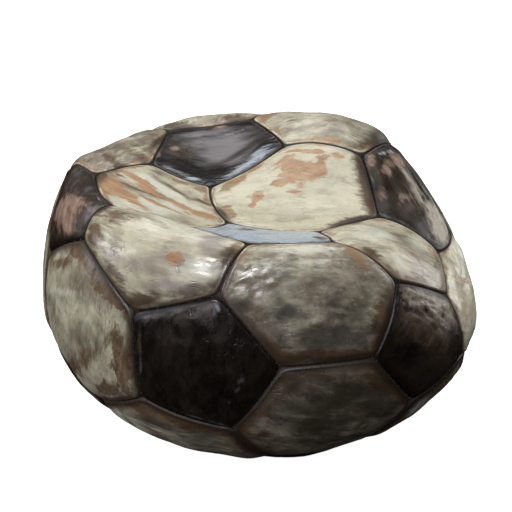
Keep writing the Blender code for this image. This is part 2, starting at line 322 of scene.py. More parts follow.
class Pattern:
    """The 12 five-sided and 20 six-sided panels, named by where they lie on the unturned pattern."""

    neighbour_cosines = (0.4, 0.5)

    def __init__(self) -> None:
        """Places the peaks of the 20-sided solid."""
        height = math.degrees(math.atan(0.5))
        self.crown, self.base = direction(0, 90), direction(0, -90)
        self.upper = [direction(72 * k, height) for k in range(5)]
        self.lower = [direction(72 * k + 36, -height) for k in range(5)]

    def panels(self) -> list[PanelPlan]:
        """Every panel's plan.

        Returns:
            The plans, the dark ones first.
        """
        peaks = {"crown": self.crown, "base": self.base}
        triangles = {}
        for k in range(5):
            following = (k + 1) % 5
            upper, lower = self.upper[k], self.lower[k]
            next_upper, next_lower = self.upper[following], self.lower[following]
            peaks[f"upper_{k + 1}"] = upper
            peaks[f"lower_{k + 1}"] = lower
            triangles[f"crown_{k + 1}"] = (self.crown, upper, next_upper)
            triangles[f"upper_{k + 1}"] = (upper, lower, next_upper)
            triangles[f"lower_{k + 1}"] = (lower, next_lower, next_upper)
            triangles[f"base_{k + 1}"] = (self.base, next_lower, lower)
        dark = {f"dark_{at}": self.five_corners(peak, peaks) for at, peak in peaks.items()}
        pale = {f"pale_{at}": self.six_corners(triangle) for at, triangle in triangles.items()}
        plans = [PanelPlan(name, Hide.DARK, corners) for name, corners in dark.items()]
        return plans + [PanelPlan(name, Hide.PALE, corners) for name, corners in pale.items()]

    def five_corners(self, peak: Rows, peaks: dict[str, Rows]) -> Rows:
        """The corners, a third of the way from a peak of the 20-sided solid to those next to it, in order.

        Args:
            peak: the one that the panel is round.
            peaks: all of them.

        Returns:
            The corners, one row each.
        """
        nearest, farthest = self.neighbour_cosines
        neighbours = [other for other in peaks.values() if nearest < other @ peak < farthest]
        start = unit(neighbours[0] - peak * (neighbours[0] @ peak))
        side = np.cross(peak, start)
        neighbours.sort(key=lambda other: math.atan2(other @ side, other @ start))
        return np.array([peak * 2 / 3 + other / 3 for other in neighbours])

    @staticmethod
    def six_corners(triangle: tuple[Rows, ...]) -> Rows:
        """The corners at the thirds of a triangle's sides, in order round it.

        Args:
            triangle: its three peaks.

        Returns:
            The corners, one row each.
        """
        a, b, c = triangle
        if np.cross(b - a, c - a) @ a < 0:
            b, c = c, b
        corners = []
        for start, end in ((a, b), (b, c), (c, a)):
            corners += [start * 2 / 3 + end / 3, start / 3 + end * 2 / 3]
        return np.array(corners)


# ---------------------------------------- the leather's relief
@dataclass(frozen=True)
class SeamEdge:
    """How a panel's edge is turned in at a seam. Heights are above the ball's plain surface."""

    roll_width_mm: float = 1.0
    roll_drop_mm: float = 0.8
    puff_width_mm: float = 11.0
    puff_drop_mm: float = 1.6
    bead_at_mm: float = 1.4
    bead_width_mm: float = 0.5
    bead_rise_mm: float = 0.22
    corner_rounding_mm: float = 1.4

    def height_mm(self, seam_mm: Rows) -> Rows:
        """The height at a distance from the seam.

        Args:
            seam_mm: the distances.

        Returns:
            A height for each.
        """
        out = 1 - np.clip(seam_mm / self.roll_width_mm, 0, 1)
        rolled = -self.roll_drop_mm * (1 - np.sqrt(1 - out**2))
        puffed = -self.puff_drop_mm * (1 - np.clip(seam_mm / self.puff_width_mm, 0, 1)) ** 2
        bead = self.bead_rise_mm * np.exp(-(((seam_mm - self.bead_at_mm) / self.bead_width_mm) ** 2))
        return rolled + puffed + bead


@dataclass(frozen=True)
class Waves:
    """A field of gentle bumps, made of many straight waves that cross."""

    seed: int
    shortest_mm: float
    longest_mm: float
    count: int = 40

    def turns(self) -> tuple[Rows, Rows]:
        """The waves' vectors, in turns a millimetre, and their phases.

        Returns:
            The vectors, one row each, and the phases.
        """
        chance = np.random.default_rng(self.seed)
        ways = unit(chance.normal(size=(self.count, 3)))
        lengths = np.exp(chance.uniform(math.log(self.shortest_mm), math.log(self.longest_mm), self.count))
        return math.tau * ways / lengths[:, None], chance.uniform(0, math.tau, self.count)

    def heights(self, places_mm: Rows) -> Rows:
        """The field at places in space, with a usual height of 1."""
        vectors, phases = self.turns()
        return np.sin(places_mm @ vectors.T + phases).sum(axis=1) * math.sqrt(2 / self.count)


@dataclass(frozen=True)
class Crease:
    """A fold line pressed into one panel, in millimetres on the panel's flat face."""

    panel: str
    start: Pair
    end: Pair
    width_mm: float
    rise_mm: float
    lip: float = 0.8

    def height_mm(self, flat_mm: Rows) -> Rows:
        """The height that the crease adds, with a lip the other way on either side of it.

        Args:
            flat_mm: points of the panel's flat face.

        Returns:
            A height for each.
        """
        start, run = np.array(self.start), np.subtract(self.end, self.start)
        share = np.clip((flat_mm - start) @ run / (run @ run), 0, 1)
        away = np.linalg.norm(flat_mm - start - share[:, None] * run, axis=1) / self.width_mm
        taper = np.sqrt(np.clip(1 - (2 * share - 1) ** 2, 0, 1))
        return self.rise_mm * taper * (1 - self.lip * away**2) * np.exp(-(away**2))


@dataclass(frozen=True)
class Crumple:
    """A place in one panel where the leather is crumpled into small sharp folds."""

    panel: str
    at: Pair
    reach: Pair
    turn_deg: float
    rise_mm: float
    fold_mm: float = 9.0
    sharpness: float = 0.6
    seed: int = 31
    wave_count: int = 24
    wave_lengths: Pair = (0.6, 1.5)
    drawn_out: float = 2
    level_mm: float = 7.0

    def height_mm(self, flat_mm: Rows) -> Rows:
        """The height that the folds add: waves, sharpened into ridges.

        Args:
            flat_mm: points of the panel's flat face.

        Returns:
            A height for each.
        """
        long, wide = seen_along(flat_mm, self.at, self.turn_deg)
        share = 2.0 ** -((long / self.reach[0]) ** 2 + (wide / self.reach[1]) ** 2)
        shortest_mm, longest_mm = (self.fold_mm * length for length in self.wave_lengths)
        places = np.stack([long / self.drawn_out, wide, np.full(len(long), self.level_mm)], axis=1)
        waves = Waves(self.seed, shortest_mm, longest_mm, self.wave_count).heights(places)
        ridges = 1.2 - 2 * np.sqrt(waves**2 + 0.02)
        return self.rise_mm * share * ((1 - self.sharpness) * waves + self.sharpness * ridges)


@dataclass(frozen=True)
class Relief:
    """The slow waves, small bumps, creases and crumples of the slack leather."""

    slow: Waves = Waves(seed=11, shortest_mm=17, longest_mm=45)
    slow_mm: float = 0.30
    small: Waves = Waves(seed=12, shortest_mm=6, longest_mm=10)
    small_mm: float = 0.05
    wrinkle_seed: int = 13
    wrinkle_lengths_mm: Pair = (3.5, 7.0)
    wrinkle_count: int = 160
    wrinkle_mm: float = 0.22
    wrinkle_from: float = 0.1
    wrinkle_focus: int = 12
    wrinkle_places: Waves = Waves(seed=14, shortest_mm=18, longest_mm=30)
    creases: tuple[Crease, ...] = ()
    crumples: tuple[Crumple, ...] = ()

    def wrinkles_mm(self, ball: SlackBall, directions: Rows) -> Rows:
        """Fine wrinkles that lie across the way in which slack leather is pressed together.

        Args:
            ball: the slack ball.
            directions: points of the round ball, one row each.

        Returns:
            The height at each point.
        """
        aside, along, run_aside, run_along = ball.tangents(directions)
        e, g = (run_aside**2).sum(axis=1), (run_along**2).sum(axis=1)
        f = (run_aside * run_along).sum(axis=1)
        turn = 0.5 * np.arctan2(2 * f, e - g) + math.pi / 2
        pressed = np.cos(turn)[:, None] * aside + np.sin(turn)[:, None] * along
        least = (e + g) / 2 - np.sqrt(((e - g) / 2) ** 2 + f**2)
        slackness = np.sqrt(np.clip(1 - np.sqrt(np.maximum(least, 0)) - self.wrinkle_from, 0, 1))
        facing = unit(directions)
        slackness = slackness * ease(self.wrinkle_places.heights(facing * ball.radius / MM), -0.3, 1.0)
        waves = Waves(self.wrinkle_seed, *self.wrinkle_lengths_mm, count=self.wrinkle_count)
        vectors, phases = waves.turns()
        level = vectors[None] - facing[:, None] * (facing @ vectors.T)[..., None]
        lined_up = np.abs((unit(level) * pressed[:, None]).sum(axis=2)) ** self.wrinkle_focus
        swell = np.sin(facing @ vectors.T * ball.radius / MM + phases) * lined_up
        heights = swell.sum(axis=1) / np.sqrt((lined_up**2).sum(axis=1) / 2 + 0.5)
        return self.wrinkle_mm * slackness * heights

    def height_mm(self, plan: PanelPlan, ball: SlackBall, directions: Rows, flat_mm: Rows) -> Rows:
        """The height of the relief at points of one panel.

        Args:
            plan: the panel's plan.
            ball: the slack ball.
            directions: the points, as directions on the round ball.
            flat_mm: the same points on the panel's flat face.

        Returns:
            A height for each point.
        """
        places = unit(directions) * ball.radius / MM
        height = self.slow_mm * self.slow.heights(places) + self.small_mm * self.small.heights(places)
        height = height + self.wrinkles_mm(ball, directions)
        for fold in (*self.creases, *self.crumples):
            if fold.panel == plan.name:
                height = height + fold.height_mm(flat_mm)
        return height


# ---------------------------------------- wear, stains and dirt
class Mark(Enum):
    """What a patch of the surface has had done to it, or the light or shade painted on it. The value is the
    mesh attribute that carries it.
    """

    TAN = "tan"
    WORN = "worn"
    # grime: dirt, and painted shade as well
    GRIME_AND_SHADE = "grime_and_shade"
    # stain: brown stains, and painted shade as well
    STAIN_AND_SHADE = "stain_and_shade"
    # wash: paler paint, and painted highlights, sheen and reflections as well
    WASH_AND_SHEEN = "wash_and_sheen"
    # blush: mauve-grey paint, and painted sheen as well
    BLUSH_AND_SHEEN = "blush_and_sheen"
    # chalk: beige paint, and painted highlights as well
    CHALK_AND_HIGHLIGHT = "chalk_and_highlight"


TAN, WORN, GRIME_AND_SHADE, STAIN_AND_SHADE, WASH_AND_SHEEN, BLUSH_AND_SHEEN, CHALK_AND_HIGHLIGHT = Mark


@dataclass(frozen=True)
class Patch:
    """One stained or worn place, painted highlight or painted shade, in millimetres on a panel's flat face.

    Args:
        x: of its middle.
        y: of its middle.
        half_length: from the middle to where half its strength is left.
        half_width: the same, square to its length.
        turn_deg: how far its length is turned from the panel's own X.
        strength: 1 for a plain patch, more for a solid one.
    """

    x: float
    y: float
    half_length: float
    half_width: float
    turn_deg: float = 0
    strength: float = 1

    def share(self, flat_mm: Rows) -> Rows:
        """How much of the mark is at each point."""
        long, wide = seen_along(flat_mm, (self.x, self.y), self.turn_deg)
        return self.strength * 2.0 ** -((long / self.half_length) ** 2 + (wide / self.half_width) ** 2)


@dataclass(frozen=True)
class Wear:
    """Every patch, how each panel was brushed, and how soiled each panel is.

    Args:
        patches: the listed ones: for each panel and mark, the numbers of each patch.
        brush: for each panel, the way that it was brushed in degrees from its own X, and how drawn out the
            marks are.
        soil: for each panel, from 0 for clean to 1; besides dirt, it widens and darkens the painted shade
            along the seams.
        usual_brush: for the other panels.
        usual_soil: for the other panels.
        scattered: how many patches each of the other panels has.
        scatter_mm: how far from the middle they lie at most, on a pale panel and on a dark one.
        scatter_half_length_mm: the least and the most.
        scatter_half_width_mm: the least and the most.
    """

    patches: dict[str, dict[Mark, list[tuple[float, ...]]]]
    brush: dict[str, tuple[float, float]]
    soil: dict[str, float]
    usual_brush: Pair = (20.0, 3.0)
    usual_soil: float = 0.5
    scattered: int = 9
    scatter_mm: Pair = (38.0, 30.0)
    scatter_half_length_mm: Pair = (5, 15)
    scatter_half_width_mm: Pair = (2.5, 7)

    def patches_of(self, plan: PanelPlan) -> dict[Mark, list[tuple[float, ...]]]:
        """A panel's patches: its own, or a scatter of them where it has none."""
        return self.patches.get(plan.name) or self.scatter(plan)

    def scatter(self, plan: PanelPlan) -> dict[Mark, list[tuple[float, ...]]]:
        """Patches at places drawn by chance, the same each time.

        Args:
            plan: the panel that they are for.

        Returns:
            The patches: mostly near the edge, where a ball is knocked and rubbed.
        """
        chance = np.random.default_rng(sum(plan.name.encode()))
        pale = plan.hide is Hide.PALE
        marks = (TAN, WORN, STAIN_AND_SHADE, WASH_AND_SHEEN, BLUSH_AND_SHEEN) if pale else (WORN, TAN, BLUSH_AND_SHEEN)
        out_mm = self.scatter_mm[0 if pale else 1]
        found = {mark: [] for mark in marks}
        for k in range(self.scattered):
            turn, out = chance.uniform(0, math.tau), out_mm * math.sqrt(chance.uniform(0.05, 1))
            half_length = chance.uniform(*self.scatter_half_length_mm)
            half_width = chance.uniform(*self.scatter_half_width_mm)
            lean = math.degrees(turn) + 90 + chance.normal(0, 25)
            place = (out * math.cos(turn), out * math.sin(turn))
            patch = (*place, half_length, half_width, lean, chance.uniform(0.8, 1.1))
            found[marks[k % len(marks)]].append(patch)
        return found

    def field_of(self, plan: PanelPlan, mark: Mark, flat_mm: Rows) -> Rows:
        """How much of one mark is at each point of a panel.

        Args:
            plan: the panel's plan.
            mark: the mark.
            flat_mm: the points, on the panel's flat face.

        Returns:
            The share of the mark at each point.
        """
        total = np.zeros(len(flat_mm))
        for numbers in self.patches_of(plan).get(mark, []):
            total = np.maximum(total, Patch(*numbers).share(flat_mm))
        return total


# ---------------------------------------- the panels' meshes
@dataclass(frozen=True)
class Blank:
    """A flat leather blank with equal sides, modelled once, from which the panels are copied.

    Args:
        sides: how many it has.
        rings: of faces, from its middle out to its edge.
        hole_share: the radius of the hole in its middle, as a share of its own.
        thickness: of the blank, before it is laid on the ball.
        smooth_up_to_deg: how sharp an edge may be and still be shaded smooth.
    """

    sides: int
    rings: int = 36
    hole_share: float = 0.0
    thickness: float = 0.1
    smooth_up_to_deg: float = 40

    def model(self) -> Piece:
        """Makes the blank: a fan of triangles, cut fine and given a thickness.

        Returns:
            The flat blank.
        """
        deselect_all()
        bpy.ops.mesh.primitive_circle_add(vertices=self.sides, radius=1, fill_type="TRIFAN")
        blank = bpy.context.active_object
        bpy.ops.object.mode_set(mode="EDIT")
        bpy.ops.mesh.select_all(action="SELECT")
        bpy.ops.mesh.subdivide(number_cuts=self.rings - 1)
        bpy.ops.object.mode_set(mode="OBJECT")
        if self.hole_share:
            self.open_middle(blank)
        wall = blank.modifiers.new("wall", "SOLIDIFY")
        wall.thickness = self.thickness
        wall.offset = -1
        bpy.ops.object.modifier_apply(modifier=wall.name)
        take(blank)
        bpy.ops.object.shade_smooth_by_angle(angle=math.radians(self.smooth_up_to_deg))
        return blank

    def open_middle(self, blank: Piece) -> None:
        """Cuts the valve's hole: the faces in the middle go, and the edge that is left is made round.

        Args:
            blank: the blank, still without its thickness.
        """
        last = math.ceil(self.hole_share * self.rings)
        bpy.ops.object.mode_set(mode="EDIT")
        bpy.ops.mesh.select_mode(type="FACE")
        bpy.ops.mesh.select_all(action="DESELECT")
        bpy.ops.object.mode_set(mode="OBJECT")
        rings = self.rings_out(blank)
        for face in blank.data.polygons:
            face.select = max(rings[corner] for corner in face.vertices) <= last
        bpy.ops.object.mode_set(mode="EDIT")
        bpy.ops.mesh.delete(type="FACE")
        bpy.ops.mesh.select_mode(type="VERT")
        bpy.ops.object.mode_set(mode="OBJECT")
        places = get_places(blank.data)
        edge = self.rings_out(blank) == last
        places[edge] *= self.hole_share / np.linalg.norm(places[edge], axis=1)[:, None]
        set_places(blank.data, places)

    def rings_out(self, blank: Piece) -> Rows:
        """Which ring each vertex of the flat blank is on, counted from the middle."""
        return np.rint((1 - self.layout(blank)[0]) * self.rings)

    def layout(self, blank: Piece) -> tuple[Rows, Rows, Rows]:
        """Reads where each vertex is on the blank.

        Args:
            blank: the blank as it was modelled.

        Returns:
            Each vertex's share of the way in from the edge, how many sides round the edge it is, and whether
            it is on the flesh side.
        """
        places = get_places(blank.data)
        x, y = places[:, 0], places[:, 1]
        wedge = math.tau / self.sides
        turn = np.arctan2(-x, y) / wedge % self.sides
        turn[turn > self.sides - 1e-6] = 0
        corner = np.floor(turn + 1e-6)
        at = (turn - corner) * wedge
        radius = np.hypot(x, y)
        across = radius * np.sin(at) / math.sin(wedge)
        out = radius * np.cos(at) + across * (1 - math.cos(wedge))
        share = np.divide(across, out, out=np.zeros_like(out), where=out > 1e-9)
        return 1 - np.clip(out, 0, 1), corner + np.clip(share, 0, 1), places[:, 2] < -self.thickness / 2


@dataclass(frozen=True)
class LeatherPanel:
    """One leather panel, laid on the slack ball, with its turned edge, relief and wear.

    Args:
        plan: the panel's plan.
        ball: the slack ball that it is laid on.
        edge: how its edge is turned in.
        relief: the relief of all the leather.
        wear: the wear of all the leather.
        seed: the panel's number, which sets its noise apart.
    """

    plan: PanelPlan
    ball: SlackBall
    edge: SeamEdge
    relief: Relief
    wear: Wear
    seed: int
    relief_starts_mm: Pair = (0.5, 7.0)
    noise_spacing_mm: float = 50.0
    fringe_squeeze: float = 5
    samples_a_side: int = 24
    edge_rings_mm: tuple[float, ...] = (
        0.2, 0.32, 0.5, 0.75, 1.05, 1.4, 1.8, 2.3, 2.9, 3.5, 4.2, 5.0, 5.9, 6.9, 8.0
    )

    def seam_reach(self, along: Rows) -> Rows:
        """How much slack leather there is to the middle, square to the seam, at points along it.

        Args:
            along: how many sides round the seam each point is.

        Returns:
            The slack length for each, as a share of the flat one.
        """
        sides = len(self.plan.corners)
        count = sides * self.samples_a_side
        probe = 0.02
        middles = (np.arange(count) + 0.5) / self.samples_a_side
        half = 0.5 / self.samples_a_side
        seam = self.plan.seam_point(middles)
        before, after = self.plan.seam_point(middles - half), self.plan.seam_point(middles + half - 1e-9)
        run = unit(self.ball.lie(after) - self.ball.lie(before))
        reach = (self.ball.lie(seam + probe * (self.plan.middle - seam)) - self.ball.lie(seam)) / probe
        square = np.linalg.norm(reach - (reach * run).sum(axis=1)[:, None] * run, axis=1)
        weights = np.array((1, 2, 3, 2, 1)) / 9
        smooth = sum(w * np.roll(square, k) for k, w in zip(range(-2, 3), weights))
        return np.interp(along, middles, smooth, period=sides)

    def way_in(self, share: Rows, along: Rows, rings: int) -> Rows:
        """How far in from the seam each vertex is laid: finely stepped at the edge, and evenly past it.

        Args:
            share: the share of the way in on the blank.
            along: how many sides round the seam the vertex is.
            rings: how many rings the blank has.

        Returns:
            The share of the way in on the panel.
        """
        ring = share * rings
        last = len(self.edge_rings_mm) - 1
        reach = self.seam_reach(along)
        at_edge = np.interp(ring, np.arange(last + 1), self.edge_rings_mm) * MM / reach
        start = self.edge_rings_mm[-1] * MM / reach
        inside = start + (1 - start) * np.clip((ring - last) / (rings - last), 0, 1)
        return np.where(ring <= last, at_edge, inside)

    def seam_distance_mm(self, points: Rows, along: Rows) -> Rows:
        """The distance to the nearest seam on the slack leather, rounded where two seams meet.

        Args:
            points: points of the flat outline.
            along: how many sides round the seam each is.

        Returns:
            A distance for each point.
        """
        corners, middle = self.plan.corners, self.plan.middle
        sides = np.roll(corners, -1, axis=0) + corners - 2 * middle
        square = unit(sides)
        flat = self.plan.apothem - (points - middle) @ square.T
        away = flat * (self.seam_reach(along) / self.plan.apothem / MM)[:, None]
        softness = self.edge.corner_rounding_mm
        return np.maximum(-softness * np.log(np.exp(-away / softness).sum(axis=1)), 0)

    def model(self, blank: Blank, flat_blank: Piece) -> Piece:
        """Copies the blank and lays it on the slack ball.

        Args:
            blank: the blank's sizes.
            flat_blank: the blank as it was modelled.

        Returns:
            The panel, in its place.
        """
        share, along, under = blank.layout(flat_blank)
        seam = self.plan.seam_point(along)
        points = seam + (self.plan.middle - seam) * self.way_in(share, along, blank.rings)[:, None]
        x, y = self.plan.flat_axes()
        scale = self.ball.radius / np.linalg.norm(self.plan.corners[0]) / MM
        flat_mm = np.stack([(points - self.plan.middle) @ x, (points - self.plan.middle) @ y], axis=1) * scale
        seam_mm = self.seam_distance_mm(points, along)
        relief = self.relief.height_mm(self.plan, self.ball, points, flat_mm)
        relief = relief * ease(seam_mm, *self.relief_starts_mm)
        height = np.where(under, -self.ball.leather / MM, self.edge.height_mm(seam_mm) + relief)
        height = np.maximum(height, -self.ball.leather / MM)
        outward = self.ball.outward(points)
        place = self.ball.lie(points) + outward * height[:, None] * MM
        place[:, 2] = np.maximum(place[:, 2], 0)
        piece = copy_of(flat_blank, f"{self.plan.name}_leather")
        set_places(piece.data, place)
        self.mark(piece.data, flat_mm, seam_mm, along, outward[:, 2])
        return piece

    def mark(
        self, mesh: bpy.types.Mesh, flat_mm: Rows, seam_mm: Rows, along: Rows, up: Rows
    ) -> None:
        """Writes the attributes that the leather's finish reads.

        Args:
            mesh: the panel's mesh.
            flat_mm: each vertex's place on the flat leather.
            seam_mm: its distance from the seam.
            along: how many sides round the seam it is.
            up: how far it faces up, which the finish reads to paint light where it faces up and shade where
                it faces down.
        """
        own = np.full(len(flat_mm), self.noise_spacing_mm * self.seed)
        turn_deg, stretch = self.wear.brush.get(self.plan.name, self.wear.usual_brush)
        brushed_along, brushed_across = seen_along(flat_mm, (0, 0), turn_deg)
        side_mm = np.linalg.norm(self.plan.corners[1] - self.plan.corners[0]) * self.ball.radius / MM
        vectors = {
            "cut": np.column_stack([flat_mm, own]),
            "brushed": np.column_stack([brushed_along / stretch, brushed_across, own]),
            "fringe": np.column_stack([along * side_mm, seam_mm / self.fringe_squeeze, own]),
        }
        numbers = {"seam_mm": seam_mm, "up": up}
        numbers["soil"] = np.full(len(flat_mm), self.wear.soil.get(self.plan.name, self.wear.usual_soil))
        for kind in Mark:
            numbers[kind.value] = self.wear.field_of(self.plan, kind, flat_mm)
        for name, values in vectors.items():
            mesh.attributes.new(name, "FLOAT_VECTOR", "POINT").data.foreach_set("vector", values.ravel())
        for name, values in numbers.items():
            mesh.attributes.new(name, "FLOAT", "POINT").data.foreach_set("value", values)


# ---------------------------------------- the seams' thread
@dataclass
class Stitching:
    """The waxed thread that shows down in the seams, a short bar at each stitch."""

    stitches_a_seam: int = 8
    thread_radius: float = 0.42 * MM
    length: float = 2.6 * MM
    depth: float = 2.2 * MM
    slant_deg: float = 14
    end_bevel: float = 0.6
    bevel_from_deg: float = 70
    name: str = "seam_thread"

    def one_stitch(self) -> Piece:
        """Models one stitch, lying along X at the origin.

        Returns:
            The stitch.
        """
        deselect_all()
        bpy.ops.mesh.primitive_cylinder_add(
            vertices=6, radius=self.thread_radius, depth=self.length, rotation=(0, math.pi / 2, 0)
        )
        stitch = bpy.context.active_object
        bpy.ops.object.transform_apply(location=False, rotation=True, scale=False)
        ends = stitch.modifiers.new("ends", "BEVEL")
        ends.width = self.thread_radius * self.end_bevel
        ends.segments = 1
        ends.limit_method = "ANGLE"
        ends.angle_limit = math.radians(self.bevel_from_deg)
        bpy.ops.object.modifier_apply(modifier=ends.name)
        bpy.ops.object.shade_smooth()
        return stitch

    def seams(self, plans: list[PanelPlan]) -> list[tuple[Rows, Rows]]:
        """Every seam once, by its two end corners.

        Args:
            plans: the panels that the seams join.

        Returns:
            The two corners of each seam.
        """
        found = {}
        for plan in plans:
            for start, end in zip(plan.corners, np.roll(plan.corners, -1, axis=0)):
                key = tuple(np.round((start + end) * 1000).astype(int))
                found.setdefault(key, (start, end))
        return list(found.values())

    def model(self, plans: list[PanelPlan], ball: SlackBall) -> Piece:
        """Lays a copy of the stitch at each of its places and joins them.

        Args:
            plans: the panels that the seams join.
            ball: the slack ball.

        Returns:
            All the thread, as one piece.
        """
        stitch = self.one_stitch()
        shape = get_places(stitch.data)
        slant = math.radians(self.slant_deg)
        laid = []
        for start, end in self.seams(plans):
            share = ((np.arange(self.stitches_a_seam) + 0.5) / self.stitches_a_seam)[:, None]
            at = start * (1 - share) + end * share
            middles, out = ball.lie(at), ball.outward(at)
            run = unit(ball.lie(at + 0.01 * (end - start)) - middles)
            across = np.cross(out, run)
            lengthways = math.cos(slant) * across + math.sin(slant) * run
            sideways = np.cross(out, lengthways)
            for middle, x, y, z in zip(middles - self.depth * out, lengthways, sideways, out):
                place = middle + shape[:, :1] * x + shape[:, 1:2] * y + shape[:, 2:] * z
                copied = copy_of(stitch, f"stitch_{len(laid)}")
                set_places(copied.data, place)
                laid.append(copied)
        discard(stitch)
        deselect_all()
        for each in laid:
            each.select_set(True)
        bpy.context.view_layer.objects.active = laid[0]
        bpy.ops.object.join()
        thread = bpy.context.active_object
        thread.name = thread.data.name = self.name
        places = get_places(thread.data)
        places[:, 2] = np.maximum(places[:, 2], 0)
        set_places(thread.data, places)
        return thread


# ---------------------------------------- the finishes
class NodeWork:
    """A node tree, built up a step at a time."""

    def __init__(self, tree: bpy.types.NodeTree) -> None:
        """Takes the tree."""
        self.tree = tree

    def put(self, socket: Socket, value: Number | Tint) -> None:
        """Links a socket to another node's output, or sets it to a number or colour.

        Args:
            socket: the socket to feed.
            value: what to feed it with.
        """
        if isinstance(value, Socket):
            self.tree.links.new(value, socket)
        elif isinstance(value, tuple) and len(value) == 3 and socket.type == "RGBA":
            socket.default_value = (*value, 1)
        else:
            socket.default_value = value

    def read(self, attribute: str, vector: bool = False) -> Socket:
        """One of the mesh's own attributes."""
        node = self.tree.nodes.new("ShaderNodeAttribute")
        node.attribute_name = attribute
        return node.outputs["Vector" if vector else "Fac"]

    def maths(
        self, operation: str, first: Number, second: Number = 0.0, third: Number = 0.0, clamp: bool = False
    ) -> Socket:
        """What an operation makes of one, two or three numbers.

        Args:
            operation: the operation's name.
            first: its first number.
            second: its second.
            third: its third.
            clamp: whether to keep the result from 0 to 1.

        Returns:
            The result.
        """
        node = self.tree.nodes.new("ShaderNodeMath")
        node.operation = operation
        node.use_clamp = clamp
        for socket, value in zip(node.inputs, (first, second, third)):
            self.put(socket, value)
        return node.outputs[0]

    def times(self, *numbers: Number) -> Socket:
        """The product of numbers.

        Args:
            numbers: two of them or more.

        Returns:
            The product.
        """
        product = numbers[0]
        for number in numbers[1:]:
            product = self.maths("MULTIPLY", product, number)
        return product

    def scale(self, value: Number, factor: Number, base: Number, clamp: bool = False) -> Socket:
        """A number times a factor, on top of a base."""
        return self.maths("MULTIPLY_ADD", value, factor, base, clamp)

    def step(self, value: Socket, start: float, end: float, low: float = 0.0, high: float = 1.0) -> Socket:
        """A smooth step from the low value to the high one, as a number goes from start to end.

        Args:
            value: the number.
            start: where the step begins.
            end: where it ends.
            low: the value at its start.
            high: the value at its end.

        Returns:
            The value.
        """
        node = self.tree.nodes.new("ShaderNodeMapRange")
        node.interpolation_type = "SMOOTHSTEP"
        values = {"Value": value, "From Min": start, "From Max": end, "To Min": low, "To Max": high}
        for name, each in values.items():
            self.put(node.inputs[name], each)
        return node.outputs["Result"]

    def blend(self, share: Number, first: Tint, second: Tint) -> Socket:
        """A mix of two colours: the first at 0, and the second at 1.

        Args:
            share: of the second colour.
            first: the first colour.
            second: the second colour.

        Returns:
            The mixed colour.
        """
        node = self.tree.nodes.new("ShaderNodeMix")
        node.data_type = "RGBA"
        for index, each in ((0, share), (6, first), (7, second)):
            self.put(node.inputs[index], each)
        return node.outputs[2]

    def cloud(
        self, at: Socket, size: float, detail: float = 4.0, rough: float = 0.65, warp: float = 0.0
    ) -> Socket:
        """Soft noise around 0.5, with lumps of a size in the coordinates' own units.

        Args:
            at: the coordinates.
            size: of the lumps.
            detail: how many finer layers it has.
            rough: how strong they are.
            warp: how far it is twisted.

        Returns:
            From 0 to 1.
        """
        node = self.tree.nodes.new("ShaderNodeTexNoise")
        values = {"Vector": at, "Scale": 1 / size, "Detail": detail, "Roughness": rough, "Distortion": warp}
        for name, each in values.items():
            self.put(node.inputs[name], each)
        return node.outputs["Fac"]

    def swing(self, *cloud: Number, height: float = 1.0) -> Socket:
        """Noise around 0: a cloud of the same numbers, less a half, times a height."""
        return self.times(self.maths("SUBTRACT", self.cloud(*cloud), 0.5), height)

    def cells(self, at: Socket, size: float, edges: bool = False) -> Socket:
        """Distances in a pattern of cells: to their middles, or to their edges.

        Args:
            at: the coordinates.
            size: of a cell.
            edges: whether to measure to the edges.

        Returns:
            The distance.
        """
        node = self.tree.nodes.new("ShaderNodeTexVoronoi")
        node.feature = "DISTANCE_TO_EDGE" if edges else "F1"
        self.put(node.inputs["Vector"], at)
        self.put(node.inputs["Scale"], 1 / size)
        return node.outputs["Distance"]


class Recipe(NodeWork):
    """A material, built up around one Principled shader."""

    def __init__(self, name: str) -> None:
        """Starts a plain material with the given name.

        Args:
            name: the material's name.
        """
        self.material = bpy.data.materials.new(name)
        self.material.use_nodes = True
        super().__init__(self.material.node_tree)
        self.shader = self.tree.nodes["Principled BSDF"]

    def finish(self, colour: Tint, roughness: Number, height_mm: Socket | None = None) -> bpy.types.Material:
        """Feeds the shader.

        Args:
            colour: the surface's colour.
            roughness: its roughness.
            height_mm: the height of its finest relief.

        Returns:
            The finished material.
        """
        self.put(self.shader.inputs["Base Color"], colour)
        self.put(self.shader.inputs["Roughness"], roughness)
        if height_mm is not None:
            bump = self.tree.nodes.new("ShaderNodeBump")
            bump.inputs["Strength"].default_value = 1.0
            bump.inputs["Distance"].default_value = MM
            self.put(bump.inputs["Height"], height_mm)
            self.put(self.shader.inputs["Normal"], bump.outputs["Normal"])
        return self.material


class LeatherRecipe(Recipe):
    """A leather's recipe, with the attributes and noises that its layers share, and its colour so far."""

    def __init__(self, name: str) -> None:
        """Starts the material and reads what the panel's mesh says of itself.

        Args:
            name: the material's name.
        """
        super().__init__(name)
        self.cut, self.brushed, self.fringe = (self.read(each, True) for each in ("cut", "brushed", "fringe"))
        self.seam, self.soil, self.up = (self.read(each) for each in ("seam_mm", "soil", "up"))
        self.lumps = self.swing(self.cut, 9, 3, 0.6, 0.3)
        self.flecks = self.swing(self.brushed, 2.2)
        self.ragged = self.maths("ADD", self.times(self.lumps, 1.4), self.times(self.flecks, 1.3))
        self.colour = None

    def lay(self, colour: Tint, share: Socket, most: float = 1.0) -> None:
        """Lays a colour over what is there, by a share of the most that it may cover."""
        self.colour = self.blend(self.times(share, most), self.colour, colour)

    def marked(self, mark: Mark, noise: Socket, start: float, end: float) -> Socket:
        """How much of a mark shows, its edge roughened by noise: none at the start, and all at the end."""
        return self.step(self.maths("ADD", self.read(mark.value), noise), start, end)

    def patchy(self, mark: Mark, noise: Socket, start: float, end: float) -> Socket:
        """The same, and nothing where the mark itself isn't."""
        return self.times(self.marked(mark, noise, start, end), self.step(self.read(mark.value), 0.0, 0.2))


